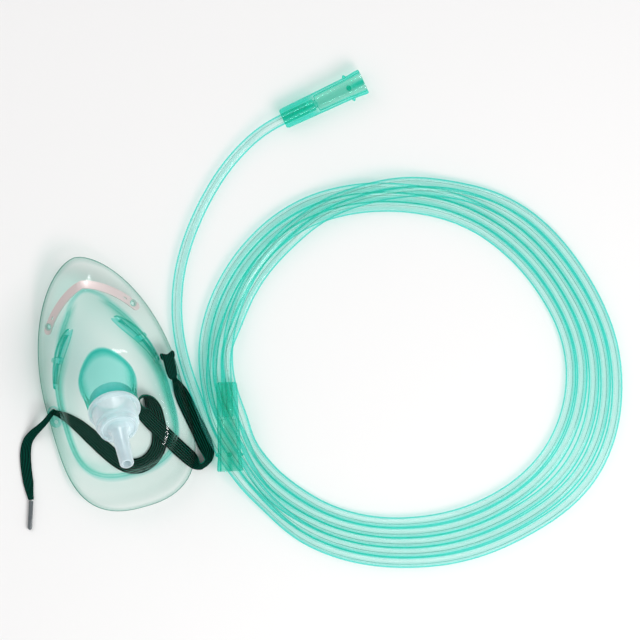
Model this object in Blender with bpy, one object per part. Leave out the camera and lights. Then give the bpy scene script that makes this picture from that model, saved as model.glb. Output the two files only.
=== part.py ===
"""Adult oxygen face mask: a clear soft shell with a port cup, a bent nose clip, a swivel adapter
with a tube spigot, an elastic head strap with its tip, and a supply tube that lies in a coil with
a funnel connector on each end.

The mask lies with its open side down. +Y points to the nose, +X to the wearer's left, +Z away
from the face. The origin is under the middle of the face flange, on the plane that the cheeks of
the flange rest on. Lengths are in metres.
"""

import math
from dataclasses import dataclass

import bmesh
import bpy
from mathutils import Matrix, Vector
from mathutils.bvhtree import BVHTree

MM = 0.001

# Clearances
SEAT_GAP = 0.3 * MM  # between two pieces that touch or turn in each other
MASK_LIFT = 1.8 * MM  # the mask lies on its strap, so its flange clears the table

# Face flange: the outline that lies on the face, seen from above
COLUMNS = 56  # points round every ring of the shell
SHELL_WALL = 1.4 * MM
FLANGE_HALF_WIDTH = 38 * MM
FLANGE_WIDEST_Y = -6 * MM
FLANGE_NOSE_REACH = 77 * MM  # from the widest line to the nose end
FLANGE_CHIN_REACH = 65 * MM
LIP_WIDTH = 2.2 * MM  # flat strip round the edge
RIM_NOSE_RISE = 12 * MM  # the rim climbs over the bridge of the nose
RIM_CHIN_RISE = 7 * MM
RIM_FLAT_NOSE_Y = 12 * MM  # between these two lines the rim is level
RIM_FLAT_CHIN_Y = -28 * MM

# Foot of the dome: the line where the flange turns up into the wall
FOOT_HALF_WIDTH = 31 * MM
FOOT_WIDEST_Y = -10 * MM
FOOT_NOSE_REACH = 62 * MM
FOOT_CHIN_REACH = 42 * MM
FOOT_NOSE_POWER = 0.76  # a higher power gives a more pointed nose end
FOOT_LIFT = 4 * MM  # above the rim, along the cheeks
FOOT_NOSE_LIFT = 15 * MM  # more of it at the nose
FOOT_CHIN_LIFT = 5 * MM

# Roof of the dome: a rounded nose ridge that meets a slanted round front
RIDGE_RISE = 25 * MM  # from the nose end of the foot to the front's upper edge
RIDGE_SLOPE = 0.55  # fall to each side of the ridge
RIDGE_ROUND = 9 * MM
FRONT_TOP_Y = 14 * MM
FRONT_TOP_Z = 46 * MM
FRONT_TILT = math.radians(22)
FRONT_CROWN_RADIUS = 75 * MM
FRONT_EDGE_BLEND = 5 * MM
WALL_RUN = 8 * MM  # how far in the wall takes to turn into the roof
WALL_RUN_NOSE = 20 * MM
WALL_SQUARENESS = 2.4

# Port cup on the front
PORT_Y = -1.5 * MM
PORT_ELEVATION = math.radians(43)
CUP_BASE_RADIUS = 15.2 * MM
CUP_MOUTH_RADIUS = 13.6 * MM
CUP_LENGTH = 17.5 * MM

# Vents: a lens-shaped slot with a raised edge in each side wall, bridged in the middle
VENT_Y = 19 * MM
VENT_Z = 24.8 * MM
VENT_HALF_LENGTH = 13 * MM
VENT_HALF_HEIGHT = 3.9 * MM
VENT_CLIMB = 0.26  # rise of the slot's axis towards the nose
VENT_FRAME_WIDTH = 1.7 * MM
VENT_FRAME_RISE = 1.3 * MM
VENT_BRIDGE_WIDTH = 3.2 * MM
VENT_NUB_RADIUS = 1.4 * MM
VENT_NUB_HEIGHT = 2.9 * MM

# Strap eyelets on the cheeks of the flange
LUG_X = 34.4 * MM
LUG_Y = -10.2 * MM
LUG_SPACING = 5.8 * MM  # between the strap hole and the small hole
LUG_RADIUS = 3.1 * MM
LUG_RISE = 1.9 * MM
LUG_STRAP_HOLE = 2.2 * MM
LUG_SMALL_HOLE = 1.2 * MM

# Nose clip, held by two pegs with heads
CLIP_WIDTH = 4.8 * MM
CLIP_THICKNESS = 0.8 * MM
CLIP_SPAN_SHARE = 0.25  # how far round the mask each leg runs, as a share of half the outline
CLIP_APEX_SHARE = 0.19  # its place between the dome's foot and the flange's lip, at the nose
CLIP_END_SHARE = 0.66  # and at its ends
CLIP_PEG_FROM_END = 4.6 * MM
CLIP_SLOT_FROM_END = 9.8 * MM
PEG_RADIUS = 1.2 * MM
PEG_HEAD_RADIUS = 2.0 * MM
PEG_HEAD_HEIGHT = 1.2 * MM

# Swivel adapter: heights are measured outwards from the cup's mouth
ADAPTER_WALL = 1.3 * MM
ADAPTER_PLUG_DEPTH = 9 * MM
COLLAR_RADIUS = 14.4 * MM
COLLAR_HEIGHT = 2.4 * MM
BODY_HEIGHT = 9 * MM
RING_RADIUS = 10.7 * MM
RING_HEIGHT = 3.2 * MM
CONE_RADIUS = 6.2 * MM
CONE_HEIGHT = 2.6 * MM
SPIGOT_ROOT_RADIUS = 4.5 * MM
SPIGOT_TIP_RADIUS = 3.8 * MM
SPIGOT_LENGTH = 23 * MM
SPIGOT_BORE_RADIUS = 2.4 * MM

# Elastic strap
STRAP_WIDTH = 8.6 * MM
STRAP_THICKNESS = 1.2 * MM
STRAP_BUNCH_WIDTH = 2.9 * MM  # where it is drawn through an eyelet
STRAP_BUNCH_THICKNESS = 1.6 * MM
STRAP_STEPS = 3  # rings from one point of its route to the next
STRAP_CORNERS = 8
TIP_RADIUS = 1.25 * MM
TIP_LENGTH = 16 * MM

# Supply tube and its two funnel connectors
TUBE_RADIUS = 3.0 * MM
CONNECTOR_LENGTH = 49 * MM
CONNECTOR_NARROW_RADIUS = 5.5 * MM
CONNECTOR_BODY_RADIUS = 6.3 * MM
CONNECTOR_MOUTH_RADIUS = 7.2 * MM
CONNECTOR_RIB_HEIGHT = 0.5 * MM
CONNECTOR_SOCKET_DEPTH = 19 * MM
CONNECTOR_NECK_RADIUS = 2.2 * MM
CONNECTOR_MOUTH_BORE = 5.9 * MM
TUBE_SEAT_DEPTH = 15 * MM  # how far the tube goes into a connector
FREE_CONNECTOR_AT = Vector((130.4, 113.2, 0)) * MM  # its narrow end, on the table
FREE_CONNECTOR_HEADING = math.radians(9.5)
COILED_CONNECTOR_AT = Vector((61.6, -17.3, 0)) * MM
COILED_CONNECTOR_HEADING = math.radians(-103.3)

# Coil: its inner radius and its width at every 30 degrees, from +X turned by COIL_TURN
COIL_CENTRE = Vector((161, -36.1, 0)) * MM
COIL_TURN = math.radians(-15.7)
COIL_INNER = [85.8, 82.0, 83.6, 86.6, 90.5, 94.9, 97.6, 96.3, 89.4, 84.7, 84.2, 86.6]
COIL_WIDTH = [30.5, 26.4, 22.0, 17.5, 17.6, 18.4, 19.2, 20.6, 23.4, 24.8, 28.3, 33.5]
COIL_HEIGHT = 12 * MM
COIL_HUMP = 15.4 * MM  # where the turns climb over the connector
COIL_HUMP_AT = math.radians(197)
COIL_HUMP_SPREAD = math.radians(36)
COIL_SECTIONS = 48

# The tube's way from the free connector to the coil, in millimetres: x, y and height of its axis
LEAD_ROUTE = [
    (117.6, 110.3, 4.2), (105.0, 104.2, 3.3), (90.2, 94.1, 3.05), (75.4, 79.9, 3.05),
    (64.0, 66.0, 3.05), (54.8, 51.4, 3.05), (48.2, 36.2, 3.05), (44.6, 23.1, 3.05),
    (42.8, 10.6, 3.05), (42.6, -1.0, 3.5), (43.3, -11.0, 4.6),
]

# The strap's way. Each row holds x, y and height in millimetres, the share of the ribbon's full
# width, and the direction in degrees that its width points in: round Z, then up from level.
# It starts folded over the eyelet at +X, runs out under the flange, loops back inside the mask
# and leaves through the other eyelet.
STRAP_ROUTE = [
    (34.3, -2.4, 8.9, 0.8, 0, -50), (34.4, 1.2, 9.3, 0.9, 0, -50), (34.4, 4.2, 9.9, 0.95, 0, -50),
    (34.5, 5.8, 11.2, 0.95, 0, -49), (34.5, 4.7, 12.6, 0.95, 0, -47), (34.5, 1.2, 12.7, 0.95, 0, -46),
    (34.3, -2.8, 11.6, 0.75, 0, -38), (34.2, -6.1, 10.0, 0.35, 0, -15), (34.4, -7.25, 7.6, 0.0, 0, 0),
    (34.4, -7.2, 5.0, 0.0, 0, 0), (34.4, -7.3, 2.6, 0.0, 0, 0), (34.5, -8.9, 0.93, 0.05, 2, 0),
    (35.2, -12.2, 0.8, 0.5, 5, 0), (35.8, -16.0, 0.75, 0.85, 8, 0), (36.6, -21.0, 0.75, 1.0, 9, 0),
    (37.6, -27.0, 0.75, 1.0, 10, 0), (38.8, -33.8, 0.75, 1.0, 10, 0), (40.0, -40.6, 0.8, 1.0, 8, 0),
    (40.9, -47.0, 1.5, 1.0, 0, -10), (41.0, -52.0, 3.2, 1.0, -15, -35),
    (39.4, -56.4, 4.7, 1.0, -55, -70), (36.2, -57.8, 4.7, 1.0, -98, -72),
    (33.3, -55.6, 3.4, 1.0, -138, -38), (30.7, -51.8, 1.9, 1.0, -145, -10),
    (27.4, -46.6, 2.2, 1.0, -149, 0), (23.6, -40.2, 2.5, 1.0, -150, 0),
    (19.8, -33.8, 2.6, 1.0, -150, 0), (16.2, -27.6, 2.7, 1.0, -150, -3),
    (13.2, -22.0, 3.2, 1.0, -156, -22), (11.8, -17.6, 4.4, 1.0, -176, -60),
    (12.6, -13.8, 4.9, 1.0, -215, -88), (15.4, -12.4, 4.9, 1.0, -270, -96),
    (18.0, -14.6, 4.4, 1.0, -325, -122), (19.0, -18.4, 2.9, 1.0, -350, -152),
    (19.2, -22.8, 1.1, 1.0, -355, -175), (19.0, -28.8, 0.75, 1.0, -358, -180),
    (18.2, -35.6, 0.75, 1.0, -373, -180), (15.4, -42.0, 0.75, 1.0, -395, -180),
    (10.0, -46.8, 0.75, 1.0, -420, -180), (3.6, -48.6, 0.75, 1.0, -450, -180),
    (-2.6, -47.0, 0.75, 1.0, -475, -180), (-8.0, -42.0, 0.75, 1.0, -495, -180),
    (-13.2, -34.4, 0.75, 1.0, -507, -180), (-18.2, -26.2, 0.75, 0.95, -508, -180),
    (-23.2, -18.6, 0.75, 0.75, -506, -180), (-28.2, -12.6, 0.85, 0.4, -498, -180),
    (-32.2, -9.2, 1.05, 0.1, -490, -180), (-34.2, -7.7, 2.6, 0.0, -490, -180),
    (-34.4, -7.3, 5.2, 0.0, -490, -180), (-34.5, -7.3, 8.2, 0.0, -478, -180),
    (-36.2, -8.6, 9.8, 0.0, -450, -180), (-39.8, -11.3, 8.8, 0.05, -420, -180),
    (-44.0, -13.6, 5.8, 0.15, -415, -180), (-48.6, -15.9, 2.5, 0.3, -408, -180),
    (-52.6, -19.2, 1.0, 0.45, -395, -180), (-55.4, -24.8, 0.75, 0.55, -376, -180),
    (-57.2, -32.4, 0.75, 0.55, -370, -180), (-58.4, -41.0, 0.75, 0.5, -367, -180),
    (-59.1, -46.6, 0.9, 0.2, -365, -180), (-59.4, -50.6, 1.3, 0.0, -365, -180),
]


@dataclass(frozen=True)
class Egg:
    """A closed outline about the Y axis: rounded at the nose end, squarer at the chin end."""

    half_width: float
    widest_y: float
    nose_reach: float
    chin_reach: float
    nose_power: float = 0.6

    def half_width_at(self, y):
        if y >= self.widest_y:
            t = min((y - self.widest_y) / self.nose_reach, 1)
            return self.half_width * (1 - t**2) ** self.nose_power
        t = min((self.widest_y - y) / self.chin_reach, 1)
        return self.half_width * (1 - t**4) ** 0.4

    def shrunk(self, by):
        reaches = self.nose_reach - by, self.chin_reach - by
        return Egg(self.half_width - by, self.widest_y, *reaches, self.nose_power)

    def points(self, count):
        """Evenly spaced plan points, counter-clockwise from the nose end."""
        steps = 400
        nose, chin = self.widest_y + self.nose_reach, self.widest_y - self.chin_reach
        side = []
        for i in range(steps + 1):
            y = (nose + chin) / 2 + (nose - chin) / 2 * math.cos(math.pi * i / steps)
            side.append(Vector((-self.half_width_at(y), y, 0)))
        walked = [0.0]
        for a, b in zip(side, side[1:]):
            walked.append(walked[-1] + (b - a).length)
        half = []
        k = 0
        for i in range(count // 2 + 1):
            want = walked[-1] * i / (count // 2)
            while k < steps - 1 and walked[k + 1] < want:
                k += 1
            share = (want - walked[k]) / (walked[k + 1] - walked[k])
            half.append(side[k].lerp(side[k + 1], min(max(share, 0), 1)))
        other = [Vector((-p.x, p.y, 0)) for p in half[-2:0:-1]]
        return half + other


FLANGE = Egg(FLANGE_HALF_WIDTH, FLANGE_WIDEST_Y, FLANGE_NOSE_REACH, FLANGE_CHIN_REACH)
FOOT = Egg(FOOT_HALF_WIDTH, FOOT_WIDEST_Y, FOOT_NOSE_REACH, FOOT_CHIN_REACH, FOOT_NOSE_POWER)


def smooth_share(x, low, high):
    """0 below low, 1 above high, with a soft start and end."""
    t = min(max((x - low) / (high - low), 0), 1)
    return t * t * (3 - 2 * t)


def rise_past(y, start, end, power):
    """0 before start, 1 at end, on a power curve."""
    return max((y - start) / (end - start), 0) ** power


def rim_z(y):
    """Height of the flange's top face at its outer edge."""
    nose, chin = FLANGE_WIDEST_Y + FLANGE_NOSE_REACH, FLANGE_WIDEST_Y - FLANGE_CHIN_REACH
    up = RIM_NOSE_RISE * rise_past(y, RIM_FLAT_NOSE_Y, nose, 1.6)
    down = RIM_CHIN_RISE * rise_past(-y, -RIM_FLAT_CHIN_Y, -chin, 1.6)
    return MASK_LIFT + SHELL_WALL + up + down


def foot_z(y):
    """Height of the foot line of the dome."""
    nose, chin = FOOT_WIDEST_Y + FOOT_NOSE_REACH, FOOT_WIDEST_Y - FOOT_CHIN_REACH
    up = FOOT_NOSE_LIFT * rise_past(y, 0, nose, 1.8)
    down = FOOT_CHIN_LIFT * rise_past(-y, -RIM_FLAT_CHIN_Y, -chin, 1.5)
    return MASK_LIFT + SHELL_WALL + FOOT_LIFT + up + down


def soft_min(a, b, width):
    near = max(width - abs(a - b), 0) / width
    return min(a, b) - near * near * width / 4


def roof_z(x, y):
    """Height of the dome's roof: the lower of the nose ridge and the slanted front, blended."""
    nose = FOOT_WIDEST_Y + FOOT_NOSE_REACH
    along = (nose - y) / (nose - FRONT_TOP_Y)
    ridge = FRONT_TOP_Z - RIDGE_RISE * (1 - math.copysign(abs(along) ** 0.9, along))
    ridge -= RIDGE_SLOPE * (math.hypot(x, RIDGE_ROUND) - RIDGE_ROUND)
    front = FRONT_TOP_Z + math.tan(FRONT_TILT) * (y - FRONT_TOP_Y) - x * x / (2 * FRONT_CROWN_RADIUS)
    return MASK_LIFT + soft_min(ridge, front, FRONT_EDGE_BLEND)


def port_frame():
    """Matrix whose origin is the cup's mouth and whose Z is the port's axis, pointing out."""
    axis = Vector((0, -math.cos(PORT_ELEVATION), math.sin(PORT_ELEVATION)))
    base = Vector((0, PORT_Y, roof_z(0, PORT_Y)))
    turn = Matrix.Rotation(math.pi / 2 - PORT_ELEVATION, 4, "X")
    return Matrix.Translation(base + axis * CUP_LENGTH) @ turn


def cup_point(angle, height):
    """Point on the cup's outside: angle 0 faces the nose, height is from the mouth, inwards."""
    share = height / CUP_LENGTH
    radius = CUP_MOUTH_RADIUS + (CUP_BASE_RADIUS - CUP_MOUTH_RADIUS) * share
    local = Vector((-radius * math.sin(angle), radius * math.cos(angle), -height))
    return port_frame() @ local


def cup_base_point(angle):
    """Where the cup's side line at this angle meets the roof."""
    low, high = -CUP_LENGTH * 0.5, CUP_LENGTH * 3
    for _ in range(40):
        middle = (low + high) / 2
        p = cup_point(angle, middle)
        if p.z > roof_z(p.x, p.y):
            low = middle
        else:
            high = middle
    return low


def wall_run(y):
    return WALL_RUN + (WALL_RUN_NOSE - WALL_RUN) * smooth_share(y, -6 * MM, 40 * MM)


def dome_z(foot_height, x, y, inset):
    """Height of the dome this far in from its foot."""
    left = 1 - min(inset / wall_run(y), 1)
    return foot_height + (roof_z(x, y) - foot_height) * (1 - left**WALL_SQUARENESS) ** (1 / WALL_SQUARENESS)


def shell_rings():
    """The rings of the shell's outer skin, from the flange's edge to the cup's mouth."""
    edge, lip, foot = (egg.points(COLUMNS) for egg in (FLANGE, FLANGE.shrunk(LIP_WIDTH), FOOT))
    rings = [[Vector((p.x, p.y, rim_z(p.y))) for p in edge]]
    rings.append([Vector((p.x, p.y, rim_z(q.y))) for p, q in zip(lip, edge)])
    for share in (0.5, 1):
        ring = []
        for outer, inner in zip(rings[1], foot):
            p = outer.lerp(inner, share)
            z = outer.z + (foot_z(inner.y) - outer.z) * share
            ring.append(Vector((p.x, p.y, z)))
        rings.append(ring)
    angles = [2 * math.pi * i / COLUMNS for i in range(COLUMNS)]
    bases = [cup_base_point(a) for a in angles]
    targets = [cup_point(a, h) for a, h in zip(angles, bases)]
    wall_steps, roof_steps = 6, 5
    for k in range(1, wall_steps + roof_steps + 1):
        ring = []
        for start, target in zip(foot, targets):
            way = Vector((target.x - start.x, target.y - start.y, 0))
            run = min(wall_run(start.y), way.length * 0.6)
            if k <= wall_steps:
                inset = run * (1 - math.cos(math.pi / 2 * k / wall_steps))
            else:
                inset = run + (way.length - run) * (k - wall_steps) / roof_steps
            p = start + way.normalized() * inset
            z = dome_z(foot_z(start.y), p.x, p.y, inset)
            if k == wall_steps + roof_steps:
                z = target.z
            ring.append(Vector((p.x, p.y, z)))
        rings.append(ring)
    cup_steps = 2
    for k in range(1, cup_steps + 1):
        share = k / cup_steps
        rings.append([cup_point(a, h * (1 - share)) for a, h in zip(angles, bases)])
    return rings


def lofted(name, rings, close_ends=False, close_loop=False):
    """A mesh object through rings of equal count. It can be capped, or closed into a hoop."""
    bm = bmesh.new()
    layers = [[bm.verts.new(p) for p in ring] for ring in rings]
    pairs = list(zip(layers, layers[1:]))
    if close_loop:
        pairs.append((layers[-1], layers[0]))
    for lower, upper in pairs:
        for i, corner in enumerate(lower):
            after = (i + 1) % len(lower)
            bm.faces.new((corner, lower[after], upper[after], upper[i]))
    if close_ends:
        bm.faces.new(list(reversed(layers[0])))
        bm.faces.new(layers[-1])
    return object_from(name, bm)


def object_from(name, bm):
    mesh = bpy.data.meshes.new(name)
    bm.to_mesh(mesh)
    bm.free()
    made = bpy.data.objects.new(name, mesh)
    bpy.context.scene.collection.objects.link(made)
    return made


def facing_out(made):
    """Turns the faces of a closed mesh outwards."""
    bm = bmesh.new()
    bm.from_mesh(made.data)
    bmesh.ops.recalc_face_normals(bm, faces=bm.faces)
    if bm.calc_volume(signed=True) < 0:
        bmesh.ops.reverse_faces(bm, faces=bm.faces)
    bm.to_mesh(made.data)
    bm.free()
    return made


def cylinder(name, radius, depth, place, top_radius=None, segments=20):
    """A capped cylinder or cone along the Z of the matrix, from its origin outwards."""
    bm = bmesh.new()
    bmesh.ops.create_cone(
        bm, cap_ends=True, segments=segments, radius1=radius,
        radius2=radius if top_radius is None else top_radius, depth=depth,
        matrix=place @ Matrix.Translation((0, 0, depth / 2)),
    )
    return object_from(name, bm)


def helper(made):
    """Marks a cutter or a piece that is joined into another."""
    made.hide_render = True
    made.display_type = "WIRE"
    return made


def combine(target, other, operation):
    modifier = target.modifiers.new(other.name, "BOOLEAN")
    modifier.object = helper(other)
    modifier.operation = operation
    modifier.solver = "EXACT"


def painted(made, colour, roughness, metallic=0.0, alpha=1.0, transmission=0.0):
    """Gives the object its own Principled material."""
    material = bpy.data.materials.new(made.name)
    material.use_nodes = True
    shader = material.node_tree.nodes["Principled BSDF"]
    shader.inputs["Base Color"].default_value = (*colour, 1)
    shader.inputs["Roughness"].default_value = roughness
    shader.inputs["Metallic"].default_value = metallic
    shader.inputs["Alpha"].default_value = alpha
    shader.inputs["Transmission Weight"].default_value = transmission
    made.data.materials.append(material)
    return made


def smooth(made, degrees=35):
    made.data.shade_smooth()
    made.data.set_sharp_from_angle(angle=math.radians(degrees))
    return made


def axes_at(point, normal, along):
    """Matrix at a point with Z on the normal and X near the given direction."""
    z = normal.normalized()
    y = z.cross(along).normalized()
    x = y.cross(z)
    return Matrix.Translation(point) @ Matrix((x, y, z)).transposed().to_4x4()


class Skin:
    """The shell's outer skin, for seating pieces on it."""

    def __init__(self, rings):
        probe = lofted("skin_probe", rings)
        bm = bmesh.new()
        bm.from_mesh(probe.data)
        self.tree = BVHTree.FromBMesh(bm)
        bm.free()
        bpy.data.objects.remove(probe)

    def under(self, x, y):
        """Point and normal straight below (x, y)."""
        point, normal, _, _ = self.tree.ray_cast(Vector((x, y, 0.2)), Vector((0, 0, -1)))
        return point, normal

    def beside(self, side, y, z):
        """Point and normal where a level line from this side meets the wall."""
        point, normal, _, _ = self.tree.ray_cast(Vector((side * 0.1, y, z)), Vector((-side, 0, 0)))
        return point, normal


def lens_point(along, grow, upper):
    """Point of the vent's lens on the wall as (y, z): along runs from -1 at one end to 1."""
    reach, height = VENT_HALF_LENGTH + grow * 1.4, VENT_HALF_HEIGHT + grow
    up = (1 if upper else -1) * (1 - min(abs(along), 1) ** 2.2)
    return VENT_Y + reach * along, VENT_Z + VENT_CLIMB * reach * along + height * up


def vent_way(skin, side):
    """The direction out of the wall at the vent, which its frame and slots follow."""
    spots = [lens_point(along, 0, upper) for along in (-0.6, 0, 0.6) for upper in (True, False)]
    return sum((skin.beside(side, y, z)[1] for y, z in spots), Vector()).normalized()


def wall_bar(name, skin, side, shares, levels):
    """A bar through the side wall, lens-shaped in side view. Each level is its growth over the
    slot and its rise off the skin, for the bar's inner and then its outer face."""
    out = vent_way(skin, side)
    rings = []
    for share in shares:
        ring = []
        for (grow, rise), way in zip(levels, (1, -1)):
            lower, upper = lens_point(share, grow, False), lens_point(share, grow, True)
            middle = ((lower[0] + upper[0]) / 2, (lower[1] + upper[1]) / 2)
            for y, z in (lower, middle, upper)[::way]:
                ring.append(skin.beside(side, y, z)[0] + out * rise)
        rings.append(ring)
    return facing_out(lofted(name, rings, close_ends=True))


def add_vent(shell, skin, side):
    """Raised lens with a slot on each side of its bridge, and the bridge's nub."""
    label = "left" if side > 0 else "right"
    inside = -(SHELL_WALL + 0.55 * MM)
    ends = [0.965 * math.sin(math.pi / 2 * i / 8) for i in range(-8, 9)]
    levels = [(VENT_FRAME_WIDTH, inside), (VENT_FRAME_WIDTH * 0.8, VENT_FRAME_RISE)]
    combine(shell, wall_bar(f"vent_frame_{label}", skin, side, ends, levels), "UNION")
    margin = 1.5 * MM
    start = VENT_BRIDGE_WIDTH / 2 / VENT_HALF_LENGTH
    for end in (1, -1):
        shares = [end * (start + (0.93 - start) * math.sin(math.pi / 2 * i / 6)) for i in range(7)]
        levels = [(0, inside - margin), (0, VENT_FRAME_RISE + margin)]
        name = f"vent_slot_{label}_{'front' if end > 0 else 'back'}"
        combine(shell, wall_bar(name, skin, side, shares, levels), "DIFFERENCE")
    point, _ = skin.beside(side, VENT_Y, VENT_Z)
    root = axes_at(point, vent_way(skin, side), Vector((0, 1, VENT_CLIMB))) @ Matrix.Translation((0, 0, -SHELL_WALL / 2))
    nub = cylinder(f"vent_nub_{label}", VENT_NUB_RADIUS, VENT_NUB_HEIGHT + SHELL_WALL / 2, root,
                   top_radius=VENT_NUB_RADIUS * 0.85, segments=14)
    combine(shell, nub, "UNION")


def stadium(radius, spacing, count=20):
    """Plan points of an oval along Y: two half circles this far apart."""
    points = []
    for i in range(count):
        angle = 2 * math.pi * (i + 0.5) / count
        shift = math.copysign(spacing / 2, math.sin(angle))
        points.append(Vector((radius * math.cos(angle), radius * math.sin(angle) + shift, 0)))
    return points


def add_lug(shell, skin, side):
    """Oval boss with the strap hole and the small hole, on one cheek of the flange."""
    label = "left" if side > 0 else "right"
    centre = Vector((side * LUG_X, LUG_Y, 0))
    point, _ = skin.under(centre.x, centre.y)
    base, top = point.z - SHELL_WALL * 0.6, point.z + LUG_RISE
    outline = stadium(LUG_RADIUS, LUG_SPACING)
    rings = []
    for grow, z in ((1.0, base), (0.97, top - 0.5 * MM), (0.84, top)):
        rings.append([Vector((centre.x + p.x * grow, centre.y + p.y * grow, z)) for p in outline])
    combine(shell, facing_out(lofted(f"lug_{label}", rings, close_ends=True)), "UNION")
    for name, radius, shift in (("strap_hole", LUG_STRAP_HOLE, 0.5), ("small_hole", LUG_SMALL_HOLE, -0.5)):
        place = Matrix.Translation((centre.x, centre.y + LUG_SPACING * shift, base - 4 * MM))
        combine(shell, cylinder(f"{name}_{label}", radius, 12 * MM, place), "DIFFERENCE")


class ClipLine:
    """The nose clip's middle line on the skin, from -1 at one end to 1 at the other."""

    def __init__(self, skin):
        self.skin = skin
        self.foot = FOOT.points(400)
        self.lip = FLANGE.shrunk(LIP_WIDTH).points(400)
        stations = [self.at(k / 60)[0] for k in range(61)]
        self.half_length = sum((b - a).length for a, b in zip(stations, stations[1:]))

    def at(self, share):
        """Point on the skin under the line, and the skin's normal there."""
        spot = -share * CLIP_SPAN_SHARE * len(self.foot) / 2
        i, t = math.floor(spot), spot - math.floor(spot)
        foot, lip = (
            ring[i % len(ring)].lerp(ring[(i + 1) % len(ring)], t) for ring in (self.foot, self.lip)
        )
        p = foot.lerp(lip, CLIP_APEX_SHARE + (CLIP_END_SHARE - CLIP_APEX_SHARE) * abs(share) ** 1.2)
        return self.skin.under(p.x, p.y)

    def place(self, share):
        """Matrix on the line: X along the clip, Z off the skin."""
        step = 0.02
        point, normal = self.at(share)
        for shift in (-0.12, -0.06, 0.06, 0.12):
            normal = normal + self.at(share + shift)[1]
        return axes_at(point, normal, self.at(share + step)[0] - self.at(share - step)[0])

    def from_end(self, side, distance):
        return self.place(side * (1 - distance / self.half_length))


def add_peg(shell, line, side):
    """Headed peg that holds one end of the nose clip."""
    label = "left" if side > 0 else "right"
    place = line.from_end(side, CLIP_PEG_FROM_END)
    root = SHELL_WALL * 0.6
    neck = 2 * SEAT_GAP + CLIP_THICKNESS
    stem = cylinder(f"peg_{label}", PEG_RADIUS, root + neck + PEG_HEAD_HEIGHT * 0.5,
                    place @ Matrix.Translation((0, 0, -root)), segments=14)
    combine(shell, stem, "UNION")
    head = cylinder(f"peg_head_{label}", PEG_HEAD_RADIUS, PEG_HEAD_HEIGHT,
                    place @ Matrix.Translation((0, 0, neck)),
                    top_radius=PEG_HEAD_RADIUS * 0.6, segments=14)
    combine(shell, head, "UNION")


def make_shell(skin, rings, line):
    """Flange, dome, port cup, vents, strap lugs and clip pegs: one soft moulding."""
    shell = lofted("mask_shell", rings)
    solid = shell.modifiers.new("wall", "SOLIDIFY")
    solid.thickness = SHELL_WALL
    solid.offset = -1
    solid.use_even_offset = True
    for side in (1, -1):
        add_vent(shell, skin, side)
        add_lug(shell, skin, side)
        add_peg(shell, line, side)
    return painted(smooth(shell), (0.72, 0.9, 0.84), 0.12, alpha=0.45)


def make_clip(line):
    """Bent aluminium strip with round ends, a hole for each peg and a slot beside it."""
    count = 31
    rings = []
    for i in range(count):
        share = math.cos(math.pi * (1 - i / (count - 1)))
        end = min((1 - abs(share)) * line.half_length / (CLIP_WIDTH / 2), 1)
        half = max(CLIP_WIDTH / 2 * math.sqrt(1 - (1 - end) ** 2), 0.25 * MM)
        place = line.place(share)
        low, high = SEAT_GAP, SEAT_GAP + CLIP_THICKNESS
        edge = 0.2 * MM
        section = [(-half, low), (half, low), (half, high - edge), (half - edge / 2, high),
                   (edge / 2 - half, high), (-half, high - edge)]
        rings.append([place @ Vector((0, y, z)) for y, z in section])
    clip = facing_out(lofted("nose_clip", rings, close_ends=True))
    for side in (1, -1):
        label = "left" if side > 0 else "right"
        below = Matrix.Translation((0, 0, -2 * MM))
        hole = cylinder(f"peg_hole_{label}", PEG_RADIUS + SEAT_GAP, 6 * MM,
                        line.from_end(side, CLIP_PEG_FROM_END) @ below, segments=16)
        combine(clip, hole, "DIFFERENCE")
        long_way = Matrix.Diagonal((2.4, 1, 1, 1))
        slot = cylinder(f"clip_slot_{label}", 0.55 * MM, 6 * MM,
                        line.from_end(side, CLIP_SLOT_FROM_END) @ below @ long_way, segments=16)
        combine(clip, slot, "DIFFERENCE")
    return painted(smooth(clip), (0.78, 0.74, 0.74), 0.35, metallic=1.0)


def turned(name, profile, place, segments=40):
    """A closed profile of (radius, height) points turned about the Z of the matrix."""
    rings = []
    for radius, height in profile:
        rings.append([
            place @ Vector((radius * math.cos(a), radius * math.sin(a), height))
            for a in (2 * math.pi * i / segments for i in range(segments))
        ])
    return facing_out(lofted(name, rings, close_loop=True))


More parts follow.
